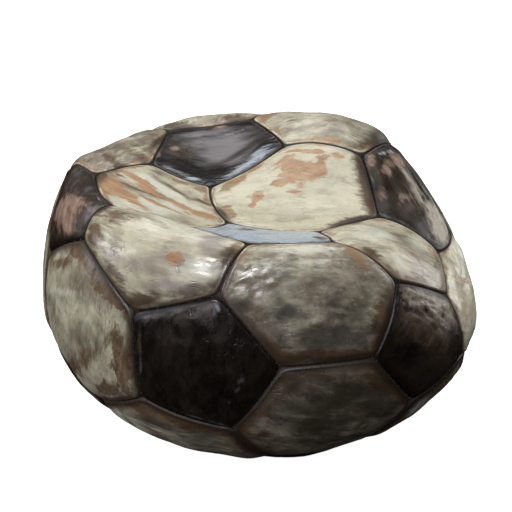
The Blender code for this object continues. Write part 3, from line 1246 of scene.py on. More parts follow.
@dataclass(frozen=True)
class SeamBand:
    """A band along the seams, of stains or of dirt and of painted shade, wider and darker the less the
    surface faces up.

    Args:
        reach_mm: how wide it is on top of the ball.
        lumps_mm: how far its edge wanders.
        low_reach_mm: how much wider it is where the surface doesn't face up.
        core: the share of its width that is all of its colour.
        share: how much it covers on top of the ball.
        low_share: how much more it covers where the surface doesn't face up.
        least_mm: how wide it is at least.
    """

    reach_mm: float
    lumps_mm: float
    low_reach_mm: float
    core: float
    share: float
    low_share: float
    least_mm: float = 0.6

    def lay(self, r: LeatherRecipe, colour: Colour, low: Socket) -> None:
        """Lays the band in a colour, where low says how little a place faces up.

        Args:
            r: the recipe so far.
            colour: of the band.
            low: how little a place faces up, raised by soil and the stained marks; it widens and darkens the
                band as painted shade.
        """
        reach_mm = r.scale(low, self.low_reach_mm, r.scale(r.lumps, self.lumps_mm, self.reach_mm))
        out = r.maths("DIVIDE", r.seam, r.maths("MAXIMUM", reach_mm, self.least_mm))
        r.lay(colour, r.times(r.step(out, 1.0, self.core), r.scale(low, self.low_share, self.share)))


# bands of stains and of dirt along the seams, both painted shade as well, wider and darker where the surface
# faces less up
STAIN_AND_SHADE_BAND = SeamBand(reach_mm=1.0, lumps_mm=10.0, low_reach_mm=8.5, core=0.3, share=0.2, low_share=0.68)
DIRT_AND_SHADE_BAND = SeamBand(reach_mm=1.3, lumps_mm=4.0, low_reach_mm=5.0, core=0.1, share=0.38, low_share=0.45)


@dataclass(frozen=True)
class LeatherFinish:
    """What the two leathers' finishes share: paint over hide, worn through at the edges and in patches, with
    painted light and shade.

    Its methods add one layer each. The numbers in them are sizes in millimetres on the leather, and where the
    noise of a layer begins and ends to count, both of which hold for the pale leather and the dark one.
    """

    name: str
    paint: Colour
    faded: Colour
    olive: Colour
    mauve: Colour
    brown: Colour
    hide: Colour
    deep_hide: Colour
    # the hide's colour where it faces up, lighter as painted light
    lit_hide: Colour
    tan: Colour
    deep_tan: Colour
    # wash: a paler paint colour, also used for painted highlights, sheen and reflections
    wash_and_sheen: Colour
    # blush: a mauve-grey colour, also used for painted sheen
    blush_and_sheen: Colour
    # grime: the colour of dirt, also used as painted shade
    grime_and_shade: Colour
    # chalk: a beige colour, also used for painted highlights
    chalk_and_highlight: Colour
    # stain: the colour of stains, also used as painted shade
    stain_and_shade: Colour
    # groove: the dark of dirt and painted shade down in the seams and cracks
    groove: Colour
    # rim: a painted highlight along the seams' edges, partly a rubbed rim
    rim: Colour
    streak: Colour
    softness: float
    rim_highlight_share: float
    rim_highlight_reach_mm: float
    edge_reach_mm: float
    edge_spread_mm: float
    edge_share: float
    gloss: float
    worn_gloss: float
    dust_dulling: float
    sheen_tint: Colour
    sheen: float

    def make(self) -> bpy.types.Material:
        """Builds the material: a coat of paint, what has worn off it, the dirt that has settled on it, and
        painted light and shade.

        Returns:
            The finished material.
        """
        r = LeatherRecipe(self.name)
        self.lay_paint(r)
        stripped = self.wear_off(r)
        groove = self.soil_seam(r)
        cracks = r.step(r.cells(r.brushed, 2.6, edges=True), 0.07, 0.0)
        cracks = r.times(cracks, r.step(r.cloud(r.cut, 9, 2, 0.5), 0.52, 0.66))
        r.lay(self.groove, cracks, 0.3)
        r.lay(self.deep_hide, r.step(r.cloud(r.cut, 1.3, 2, 0.7), 0.66, 0.74), 0.4)
        r.shader.inputs["Specular Tint"].default_value = (*self.sheen_tint, 1.0)
        r.shader.inputs["Specular IOR Level"].default_value = self.sheen
        return r.finish(r.colour, self.roughness(r, stripped, groove), self.relief_mm(r, stripped, cracks))

    def lay_paint(self, r: LeatherRecipe) -> None:
        """Lays the coat of paint, with its smudges and streaks, washed places that are partly painted sheen,
        and dirt that is partly painted shade.

        Args:
            r: the recipe so far.
        """
        r.colour = r.blend(r.step(r.cloud(r.brushed, 6, 4, 0.6, 0.4), 0.4, 0.7), self.paint, self.faded)
        brush = r.swing(r.brushed, 3, height=0.2)
        for smear, size_mm, start, most in (
            (self.olive, 22.0, 0.66, 0.85),
            (self.mauve, 17.0, 0.68, 0.75),
            (self.brown, 11.0, 0.80, 0.85),
        ):
            smudge = r.maths("ADD", r.scale(r.soil, 0.26, r.cloud(r.cut, size_mm, 4, 0.5, 0.4)), brush)
            r.lay(smear, r.step(smudge, start - 0.14, start + 0.2), most)
        r.lay(self.brown, r.times(r.step(r.cloud(r.brushed, 1.5), 0.52, 0.76), r.scale(r.soil, 0.4, 0.06)))
        r.lay(self.streak, r.step(r.cloud(r.brushed, 2.3, 4, 0.7), 0.52, 0.7), 0.34)
        soft = r.swing(r.brushed, 4, 5, 0.7, height=2.2)
        # stain marks in brown: stains, and painted shade as well
        r.lay(self.brown, r.marked(STAIN_AND_SHADE, soft, 0.15, 0.85), 0.88)
        # darker mottles on soiled panels: dirt, and painted shade as well
        r.lay(self.grime_and_shade, r.times(r.step(r.cloud(r.cut, 7, 5, 0.68, 0.5), 0.5, 0.66), r.soil), 0.4)
        # wash marks: paler paint, and painted highlights, sheen and reflections as well
        r.lay(self.wash_and_sheen, r.patchy(WASH_AND_SHEEN, soft, 0.2, 0.9), 0.9)
        gentle = r.swing(r.brushed, 8, 4, 0.6, 0.4, height=1.7)
        # blush marks: mauve-grey paint, and painted sheen as well
        r.lay(self.blush_and_sheen, r.marked(BLUSH_AND_SHEEN, gentle, 0.25, 0.95), 0.75)
        # grime marks: dirt, and painted shade as well
        r.lay(self.grime_and_shade, r.marked(GRIME_AND_SHADE, gentle, 0.15, 0.95), 0.85)

    def bare_hide(self, r: LeatherRecipe) -> Socket:
        """The colour of the hide under the paint: lighter where it faces up, as painted light, darker where
        it faces sideways or down, as painted shade, and darker under the stained and dirty marks, which are
        partly painted shade.

        Args:
            r: the recipe so far.

        Returns:
            The colour.
        """
        hide = r.blend(r.step(r.cloud(r.cut, 6), 0.36, 0.66), self.hide, self.deep_hide)
        for share, colour, most in (
            # hide that faces up is painted lighter, as painted light, and hide that faces down darker, as
            # painted shade
            (r.step(r.up, 0.3, 0.9), self.lit_hide, 0.75),
            (r.step(r.up, 0.3, -0.2), self.stain_and_shade, 0.4),
            (r.marked(STAIN_AND_SHADE, r.lumps, 0.3, 1.0), self.stain_and_shade, 0.6),
            (r.marked(GRIME_AND_SHADE, r.lumps, 0.3, 1.0), self.grime_and_shade, 0.8),
        ):
            hide = r.blend(r.times(share, most), hide, colour)
        return hide

    def wear_off(self, r: LeatherRecipe) -> Socket:
        """Wears the paint off the panel's edges and the worn places.

        Args:
            r: the recipe so far.

        Returns:
            How far the leather is stripped of its paint.
        """
        ends = (0.5 - self.softness, 0.5 + self.softness)
        chalk_and_highlight_ends = (0.46 - self.softness, 0.54 + self.softness)
        # chalk marks: beige paint, and painted highlights on bulges and ridges that face the lamps
        r.lay(self.chalk_and_highlight, r.patchy(CHALK_AND_HIGHLIGHT, r.ragged, *chalk_and_highlight_ends), 0.8)
        spread_mm = r.scale(r.soil, 0.5 * self.edge_spread_mm, 0.5 * self.edge_spread_mm)
        edge_mm = r.scale(r.swing(r.fringe, 13, 2, 0.5), spread_mm, self.edge_reach_mm)
        edge_mm = r.maths("SUBTRACT", r.scale(r.ragged, 2.6, edge_mm), r.seam)
        worn_edge = r.times(r.step(edge_mm, -1.0, 1.1), self.edge_share)
        bare = r.maths("MAXIMUM", worn_edge, r.patchy(WORN, r.ragged, *ends))
        tanned = r.patchy(TAN, r.ragged, *ends)
        thin = r.step(r.cloud(r.brushed, 3.4), 0.34, 0.6, 0.68, 0.97)
        r.lay(self.bare_hide(r), r.times(bare, thin))
        tan = r.blend(r.step(r.cloud(r.brushed, 5), 0.38, 0.64), self.tan, self.deep_tan)
        r.lay(tan, r.times(tanned, thin))
        return r.maths("MAXIMUM", bare, tanned)

    def soil_seam(self, r: LeatherRecipe) -> Socket:
        """Lays a painted highlight on the seams' edges, partly a rubbed rim, and stains and dirt by and in
        the seams, partly painted shade.

        Args:
            r: the recipe so far.

        Returns:
            How far a place is down in the seam's groove.
        """
        # how little a place faces up, more on soiled panels and under the stained marks; it widens and
        # darkens the painted shade and dims the painted highlight
        low = r.times(r.step(r.up, 0.95, 0.1), r.scale(r.soil, 0.6, 0.4, clamp=True))
        low = r.maths("MAXIMUM", low, r.step(r.read(STAIN_AND_SHADE.value), 0.0, 1.0, 0.0, 0.85))
        high = r.maths("SUBTRACT", 1.0, low)
        # a painted highlight line along the seam's edge, partly a rubbed rim, strongest where the edge faces
        # up
        rim = r.times(
            r.step(r.seam, 0.6, 0.9),
            r.step(r.seam, self.rim_highlight_reach_mm + 0.25, self.rim_highlight_reach_mm - 0.25),
            r.step(r.cloud(r.fringe, 9, 3, 0.6), 0.38, 0.6, 0.0, self.rim_highlight_share),
            r.scale(r.times(high, high), 0.7, 0.26),
        )
        r.lay(r.blend(low, self.rim, self.blush_and_sheen), rim)
        STAIN_AND_SHADE_BAND.lay(r, self.stain_and_shade, low)
        DIRT_AND_SHADE_BAND.lay(r, self.groove, low)
        # dark down in the seam's groove: dirt, and painted shade as well
        groove = r.step(r.scale(r.flecks, 0.4, r.seam), 0.85, 0.3)
        r.lay(self.groove, groove, 0.9)
        return groove

    def roughness(self, r: LeatherRecipe, stripped: Socket, groove: Socket) -> Socket:
        """How rough the surface is: glossy paint, and duller hide, grime and seams.

        Args:
            r: the recipe so far.
            stripped: how far the leather is stripped of its paint.
            groove: how far a place is down in the seam's groove.

        Returns:
            The roughness.
        """
        rough = r.step(r.cloud(r.brushed, 6), 0.3, 0.7, self.gloss - 0.06, self.gloss + 0.1)
        rough = r.scale(stripped, self.worn_gloss - self.gloss, rough)
        rough = r.scale(r.soil, self.dust_dulling, rough)
        rough = r.scale(r.read(GRIME_AND_SHADE.value), 0.16, rough)
        return r.scale(groove, 0.3, rough, clamp=True)

    def relief_mm(self, r: LeatherRecipe, stripped: Socket, cracks: Socket) -> Socket:
        """The finest relief: brush marks, dents, grain, pores, and how deep bare places and cracks lie.

        Args:
            r: the recipe so far.
            stripped: how far the leather is stripped of its paint.
            cracks: how far a place is in a crack.

        Returns:
            The height.
        """
        height = 0.0
        for part, rise_mm in (
            (r.cloud(r.brushed, 1.2, 3, 0.6), 0.02),
            (r.cloud(r.cut, 4.5, 3, 0.55), 0.14),
            (r.cells(r.cut, 0.9), 0.018),
            (r.cloud(r.cut, 0.45, 2, 0.6), 0.01),
            (stripped, -0.09),
            (cracks, -0.09),
        ):
            height = r.scale(part, rise_mm, height)
        return height


PALE_FINISH = LeatherFinish(
    name="pale_leather",
    paint=paint(220, 213, 184),
    faded=paint(202, 195, 167),
    olive=paint(124, 118, 97),
    mauve=paint(146, 130, 118),
    brown=paint(100, 78, 55),
    hide=paint(134, 106, 78),
    deep_hide=paint(98, 76, 55),
    lit_hide=paint(166, 132, 96),
    tan=paint(196, 152, 112),
    deep_tan=paint(172, 126, 84),
    wash_and_sheen=paint(232, 229, 208),
    blush_and_sheen=paint(148, 134, 124),
    grime_and_shade=paint(54, 49, 39),
    chalk_and_highlight=paint(206, 192, 164),
    stain_and_shade=paint(84, 66, 48),
    groove=paint(46, 36, 28),
    rim=paint(236, 228, 206),
    streak=paint(236, 231, 208),
    softness=0.15,
    rim_highlight_share=0.85,
    rim_highlight_reach_mm=1.55,
    edge_reach_mm=2.0,
    edge_spread_mm=20.0,
    edge_share=0.95,
    gloss=0.24,
    worn_gloss=0.34,
    dust_dulling=0.0,
    sheen_tint=(1.0, 1.0, 1.0),
    sheen=0.5,
)

# on the dark leather, the wash and the rim are painted reflections in pale blue-grey, and the blush is a
# painted sheen
DARK_FINISH = LeatherFinish(
    name="dark_leather",
    paint=paint(28, 24, 21),
    faded=paint(38, 33, 29),
    olive=paint(46, 41, 35),
    mauve=paint(60, 52, 46),
    brown=paint(58, 46, 36),
    hide=paint(106, 90, 77),
    deep_hide=paint(72, 58, 48),
    lit_hide=paint(100, 84, 71),
    tan=paint(176, 148, 130),
    deep_tan=paint(136, 110, 94),
    wash_and_sheen=paint(188, 200, 208),
    blush_and_sheen=paint(142, 137, 140),
    grime_and_shade=paint(17, 15, 13),
    chalk_and_highlight=paint(192, 180, 160),
    stain_and_shade=paint(44, 34, 27),
    groove=paint(18, 15, 13),
    rim=paint(112, 114, 120),
    streak=paint(60, 53, 48),
    softness=0.3,
    rim_highlight_share=0.6,
    rim_highlight_reach_mm=1.55,
    edge_reach_mm=0.6,
    edge_spread_mm=14.0,
    edge_share=0.6,
    gloss=0.22,
    worn_gloss=0.32,
    dust_dulling=0.04,
    sheen_tint=(1.0, 0.93, 0.86),
    sheen=0.28,
)


@dataclass(frozen=True)
class ThreadFinish:
    """Waxed thread, dark with dirt."""

    name: str = "waxed_thread"
    clean: Colour = paint(70, 58, 44)
    dirty: Colour = paint(26, 21, 17)

    def make(self) -> bpy.types.Material:
        """Builds the material.

        Returns:
            The finished material.
        """
        r = Recipe(self.name)
        at = r.tree.nodes.new("ShaderNodeTexCoord").outputs["Object"]
        fibres = r.cloud(at, 0.4 * MM, 3, 0.6)
        colour = r.blend(r.step(r.cloud(at, 9 * MM, 3, 0.5), 0.4, 0.65), self.dirty, self.clean)
        return r.finish(r.blend(r.times(fibres, 0.5), colour, self.dirty), 0.7, r.times(fibres, 0.1))


@dataclass(frozen=True)
class RubberFinish:
    """Moulded rubber with a fine bloom of dust."""

    name: str
    colour: Colour
    bloom: Colour
    grain_mm: float = 0.6

    def make(self) -> bpy.types.Material:
        """Builds the material.

        Returns:
            The finished material.
        """
        r = Recipe(self.name)
        at = r.tree.nodes.new("ShaderNodeTexCoord").outputs["Object"]
        dust = r.step(r.cloud(at, 6 * MM), 0.4, 0.75)
        colour = r.blend(r.times(dust, 0.5), self.colour, self.bloom)
        grain = r.cloud(at, self.grain_mm * MM, 2, 0.5)
        return r.finish(colour, r.scale(dust, 0.2, 0.5), r.times(grain, 0.06))


# ---------------------------------------- the whole ball
@dataclass(frozen=True)
class Football:
    """The slack ball: the leather panels in their finish, the thread in the seams, and the rubber pieces.

    Args:
        ball: the ball's shape.
        edge: how the panels' edges are turned in.
        relief: the relief of the leather.
        wear: its wear.
        valve_panel: the panel that the valve comes out through.
        valve_hole_radius: of the hole in it.
        rubber_nodes: the frame's own pieces that are kept, and only given a material.
    """

    ball: SlackBall
    edge: SeamEdge
    relief: Relief
    wear: Wear
    valve_panel: str = "pale_base_3"
    valve_hole_radius: float = 4.2 * MM
    rubber_nodes: tuple[str, ...] = ("bladder", "valve_body", "valve_core")

    def build(self) -> None:
        """Makes every piece, dresses it and fixes it to the frame."""
        finishes = {Hide.PALE: PALE_FINISH.make(), Hide.DARK: DARK_FINISH.make()}
        plans = Pattern().panels()
        hexagon = next(plan for plan in plans if plan.hide is Hide.PALE)
        hole_share = self.valve_hole_radius / self.ball.radius * np.linalg.norm(hexagon.corners[0])
        hole_share /= np.linalg.norm(hexagon.corners[0] - hexagon.middle)
        blanks = {"dark": Blank(5), "pale": Blank(6), "valve": Blank(6, hole_share=float(hole_share))}
        flats = {kind: blank.model() for kind, blank in blanks.items()}
        for seed, plan in enumerate(plans):
            kind = "valve" if plan.name == self.valve_panel else "pale" if plan.hide is Hide.PALE else "dark"
            panel = LeatherPanel(plan, self.ball, self.edge, self.relief, self.wear, seed)
            piece = panel.model(blanks[kind], flats[kind])
            self.dress(piece, finishes[plan.hide])
            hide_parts(plan.name)
            self.check_place(piece, plan.name)
        for flat in flats.values():
            discard(flat)
        thread = Stitching().model(plans, self.ball)
        self.dress(thread, ThreadFinish().make())
        self.dress_rubber()

    def dress(self, piece: Piece, material: bpy.types.Material) -> None:
        """Gives a new piece its material, and fixes it to the frame's body.

        Args:
            piece: the new piece.
            material: its finish.
        """
        piece.data.materials.clear()
        piece.data.materials.append(material)
        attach(piece, "root")
        LOG.info("made %s: %d faces", piece.name, len(piece.data.polygons))

    def dress_rubber(self) -> None:
        """Gives the frame's own rubber pieces their materials."""
        black = RubberFinish("valve_rubber", paint(38, 36, 35), paint(104, 96, 84)).make()
        red = RubberFinish("bladder_rubber", paint(132, 78, 58), paint(160, 120, 98)).make()
        for name in self.rubber_nodes:
            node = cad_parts[name]
            node.data.materials.clear()
            node.data.materials.append(red if name == "bladder" else black)
            LOG.info("dressed %s", name)

    @staticmethod
    def check_place(piece: Piece, node: str) -> None:
        """Reports how far a piece's box is from the box of the node that it stands for.

        Args:
            piece: the new piece.
            node: the node's name.
        """
        places = get_places(piece.data)
        low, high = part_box(node)
        misfit = max(np.abs(places.min(axis=0) - low).max(), np.abs(places.max(axis=0) - high).max())
        LOG.info("%s: box within %.1f mm of the frame's", piece.name, misfit / MM)


# ---------------------------------------- the studio
class Shine(Enum):
    """How the leather shows a light."""

    FULL = "lit by it, and shining with it"
    NONE = "lit by it, without a shine"
    ONLY = "shining with it, but not lit"


@dataclass(frozen=True)
class SoftBox:
    """A soft rectangular light.

    Args:
        name: what it is called.
        bearing_deg: where it stands, anticlockwise from +X seen from above.
        height_deg: above the horizon.
        distance: from the ball.
        size: of its sides.
        power: in watts.
        colour: of its light.
        shine: how the leather shows it.
    """

    name: str
    bearing_deg: float
    height_deg: float
    distance: float
    size: float
    power: float
    colour: Colour = (1.0, 1.0, 1.0)
    shine: Shine = Shine.FULL

    def hang(self, aim: Vector) -> None:
        """Hangs the light, facing the ball.

        Args:
            aim: what it faces.
        """
        deselect_all()
        place = aim + Vector(direction(self.bearing_deg, self.height_deg)) * self.distance
        turn = (aim - place).to_track_quat("-Z", "Y").to_euler()
        bpy.ops.object.light_add(type="AREA", location=place, rotation=turn)
        light = bpy.context.active_object
        light.name = light.data.name = self.name
        light.data.shape = "SQUARE"
        light.data.size = self.size
        light.data.energy = self.power
        light.data.color = self.colour
        light.visible_diffuse = self.shine is not Shine.ONLY
        light.visible_glossy = self.shine is not Shine.NONE


@dataclass(frozen=True)
class Studio:
    """The plain pale floor, the soft lights and the camera."""

    aim: tuple[float, float, float] = (-0.0029, 0.0, 0.0943)
    camera_height_deg: float = 25.49
    camera_distance: float = 0.7943
    lens_mm: float = 100.6
    floor_side: float = 12.0
    sky: Colour = (0.92, 0.96, 1.0)
    sky_strength: float = 0.2
    floor_glow: float = 0.9
    floor_colour: Colour = (0.85, 0.85, 0.85)
    floor_roughness: float = 0.9
    dusk: Colour = (0.035, 0.033, 0.03)
    horizon: Pair = (-0.12, 0.30)
    boxes: tuple[SoftBox, ...] = (
        SoftBox("overhead", 100, 74, 1.3, 1.4, 13.0),
        SoftBox("right_back", 32, 8, 1.3, 0.7, 3.2),
        SoftBox("right_fill", 42, 14, 1.3, 0.6, 4.6, shine=Shine.NONE),
        SoftBox("left", 200, 14, 1.2, 0.5, 5.2, (0.95, 0.97, 1.0)),
        SoftBox("front", -96, 27, 1.4, 0.75, 5.0, (0.95, 0.94, 1.0)),
        SoftBox("low_front", -106, 2, 1.4, 0.5, 2.6, (0.96, 0.93, 1.0), Shine.ONLY),
        SoftBox("gleam", -90, 32, 1.4, 0.14, 8.0, (0.94, 0.97, 1.0), Shine.ONLY),
    )

    def build(self) -> None:
        """Sets up all of it."""
        self.lay_floor()
        self.light_sky()
        for box in self.boxes:
            box.hang(Vector(self.aim))
        self.stand_camera()

    def lay_floor(self) -> None:
        """A plain pale floor, bright enough that it stays white."""
        deselect_all()
        bpy.ops.mesh.primitive_plane_add(size=self.floor_side)
        floor = bpy.context.active_object
        floor.name = "floor"
        r = Recipe("pale_floor")
        r.shader.inputs["Emission Color"].default_value = (1, 1, 1, 1)
        r.shader.inputs["Emission Strength"].default_value = self.floor_glow
        floor.data.materials.append(r.finish(self.floor_colour, self.floor_roughness))
        floor.visible_diffuse = False
        floor.visible_glossy = False

    def light_sky(self) -> None:
        """A soft dome of light: bright above the horizon, and dark under it."""
        world = bpy.data.worlds.new("studio")
        bpy.context.scene.world = world
        world.use_nodes = True
        work = NodeWork(world.node_tree)
        nodes = work.tree.nodes
        split = nodes.new("ShaderNodeSeparateXYZ")
        work.put(split.inputs[0], nodes.new("ShaderNodeTexCoord").outputs["Generated"])
        sky = work.blend(work.step(split.outputs["Z"], *self.horizon), self.dusk, self.sky)
        seen = nodes.new("ShaderNodeLightPath").outputs["Is Camera Ray"]
        white = (1 / self.sky_strength,) * 3
        work.put(nodes["Background"].inputs["Color"], work.blend(seen, sky, white))
        nodes["Background"].inputs["Strength"].default_value = self.sky_strength

    def stand_camera(self) -> None:
        """The camera, level with the lens and looking down at the ball."""
        deselect_all()
        height = math.radians(self.camera_height_deg)
        away = Vector((0, -math.cos(height), math.sin(height))) * self.camera_distance
        bpy.ops.object.camera_add(location=Vector(self.aim) + away, rotation=(math.pi / 2 - height, 0, 0))
        camera = bpy.context.active_object
        camera.name = "camera"
        camera.data.lens = self.lens_mm
        camera.data.sensor_width = 36
        bpy.context.scene.camera = camera
        bpy.context.scene.view_settings.view_transform = "Standard"


RELIEF = Relief(
    creases=(
        Crease("dark_upper_4", (-21, 16), (-19, -19), 1.3, -0.8),
        Crease("dark_upper_4", (11, 33), (-23, 21), 1.3, -0.6),
        Crease("dark_upper_4", (-19, 6), (-21, -18), 2.0, 0.3),
        Crease("pale_crown_1", (-13, 20), (-14, 6), 1.2, 0.6),
        Crease("pale_crown_1", (-2, 28), (-0, 17), 1.5, 0.3),
        Crease("dark_upper_2", (-27, 21), (-14, 20), 1.7, 1.1),
        Crease("dark_upper_2", (-13, 20), (-10, 11), 1.2, -0.7),
        Crease("dark_upper_2", (-21, 16), (-14, 18), 1.1, -0.5),
        Crease("dark_upper_2", (-16, 16), (-5, 16), 1.2, 0.6),
        Crease("dark_upper_2", (-12, 21), (-9, 11), 1.2, 0.5),
        Crease("dark_upper_2", (-18, 6), (-7, 7), 1.2, 0.4),
        Crease("pale_crown_2", (26, 19), (23, 31), 1.8, 0.5),
        Crease("pale_crown_1", (26, 20), (27, 14), 1.4, 0.8),
        Crease("pale_crown_1", (23, 28), (21, 20), 1.3, 0.8),
        Crease("pale_crown_1", (21, 20), (17, 18), 1.2, 0.6),
        Crease("pale_crown_1", (12, 17), (12, 12), 1.3, 0.8),
        Crease("pale_crown_1", (11, 25), (10, 22), 1.2, 0.6),
        Crease("pale_crown_1", (22, 30), (18, 25), 1.2, -0.6),
        Crease("pale_crown_1", (19, 22), (16, 21), 1.2, -0.6),
        Crease("pale_upper_2", (-3, -16), (2, -36), 1.4, 0.6),
        Crease("pale_crown_5", (12, 2), (17, 22), 1.6, 0.3),
        Crease("dark_upper_4", (-3, -16), (14, -4), 1.2, 0.3),
        Crease("dark_upper_4", (3, -22), (21, -9), 1.2, 0.25),
    ),
    crumples=(
        Crumple("pale_crown_1", (19, 20), (13, 9), 100, 0.25, 6, 0.5),
        Crumple("dark_upper_2", (-12, 16), (14, 8), 12, 0.7, 7, 0.7),
        Crumple("dark_upper_1", (-24, 20), (7, 5), 0, 0.6, 8, 0.4),
        Crumple("dark_upper_3", (-6, -12), (16, 8), 0, 0.5, 10, 0.6),
        Crumple("dark_upper_5", (-18, -12), (12, 8), 0, 0.35, 9, 0.5),
        Crumple("pale_crown_4", (-6, 4), (26, 14), -25, 0.25, 8, 0.4),
    ),
)

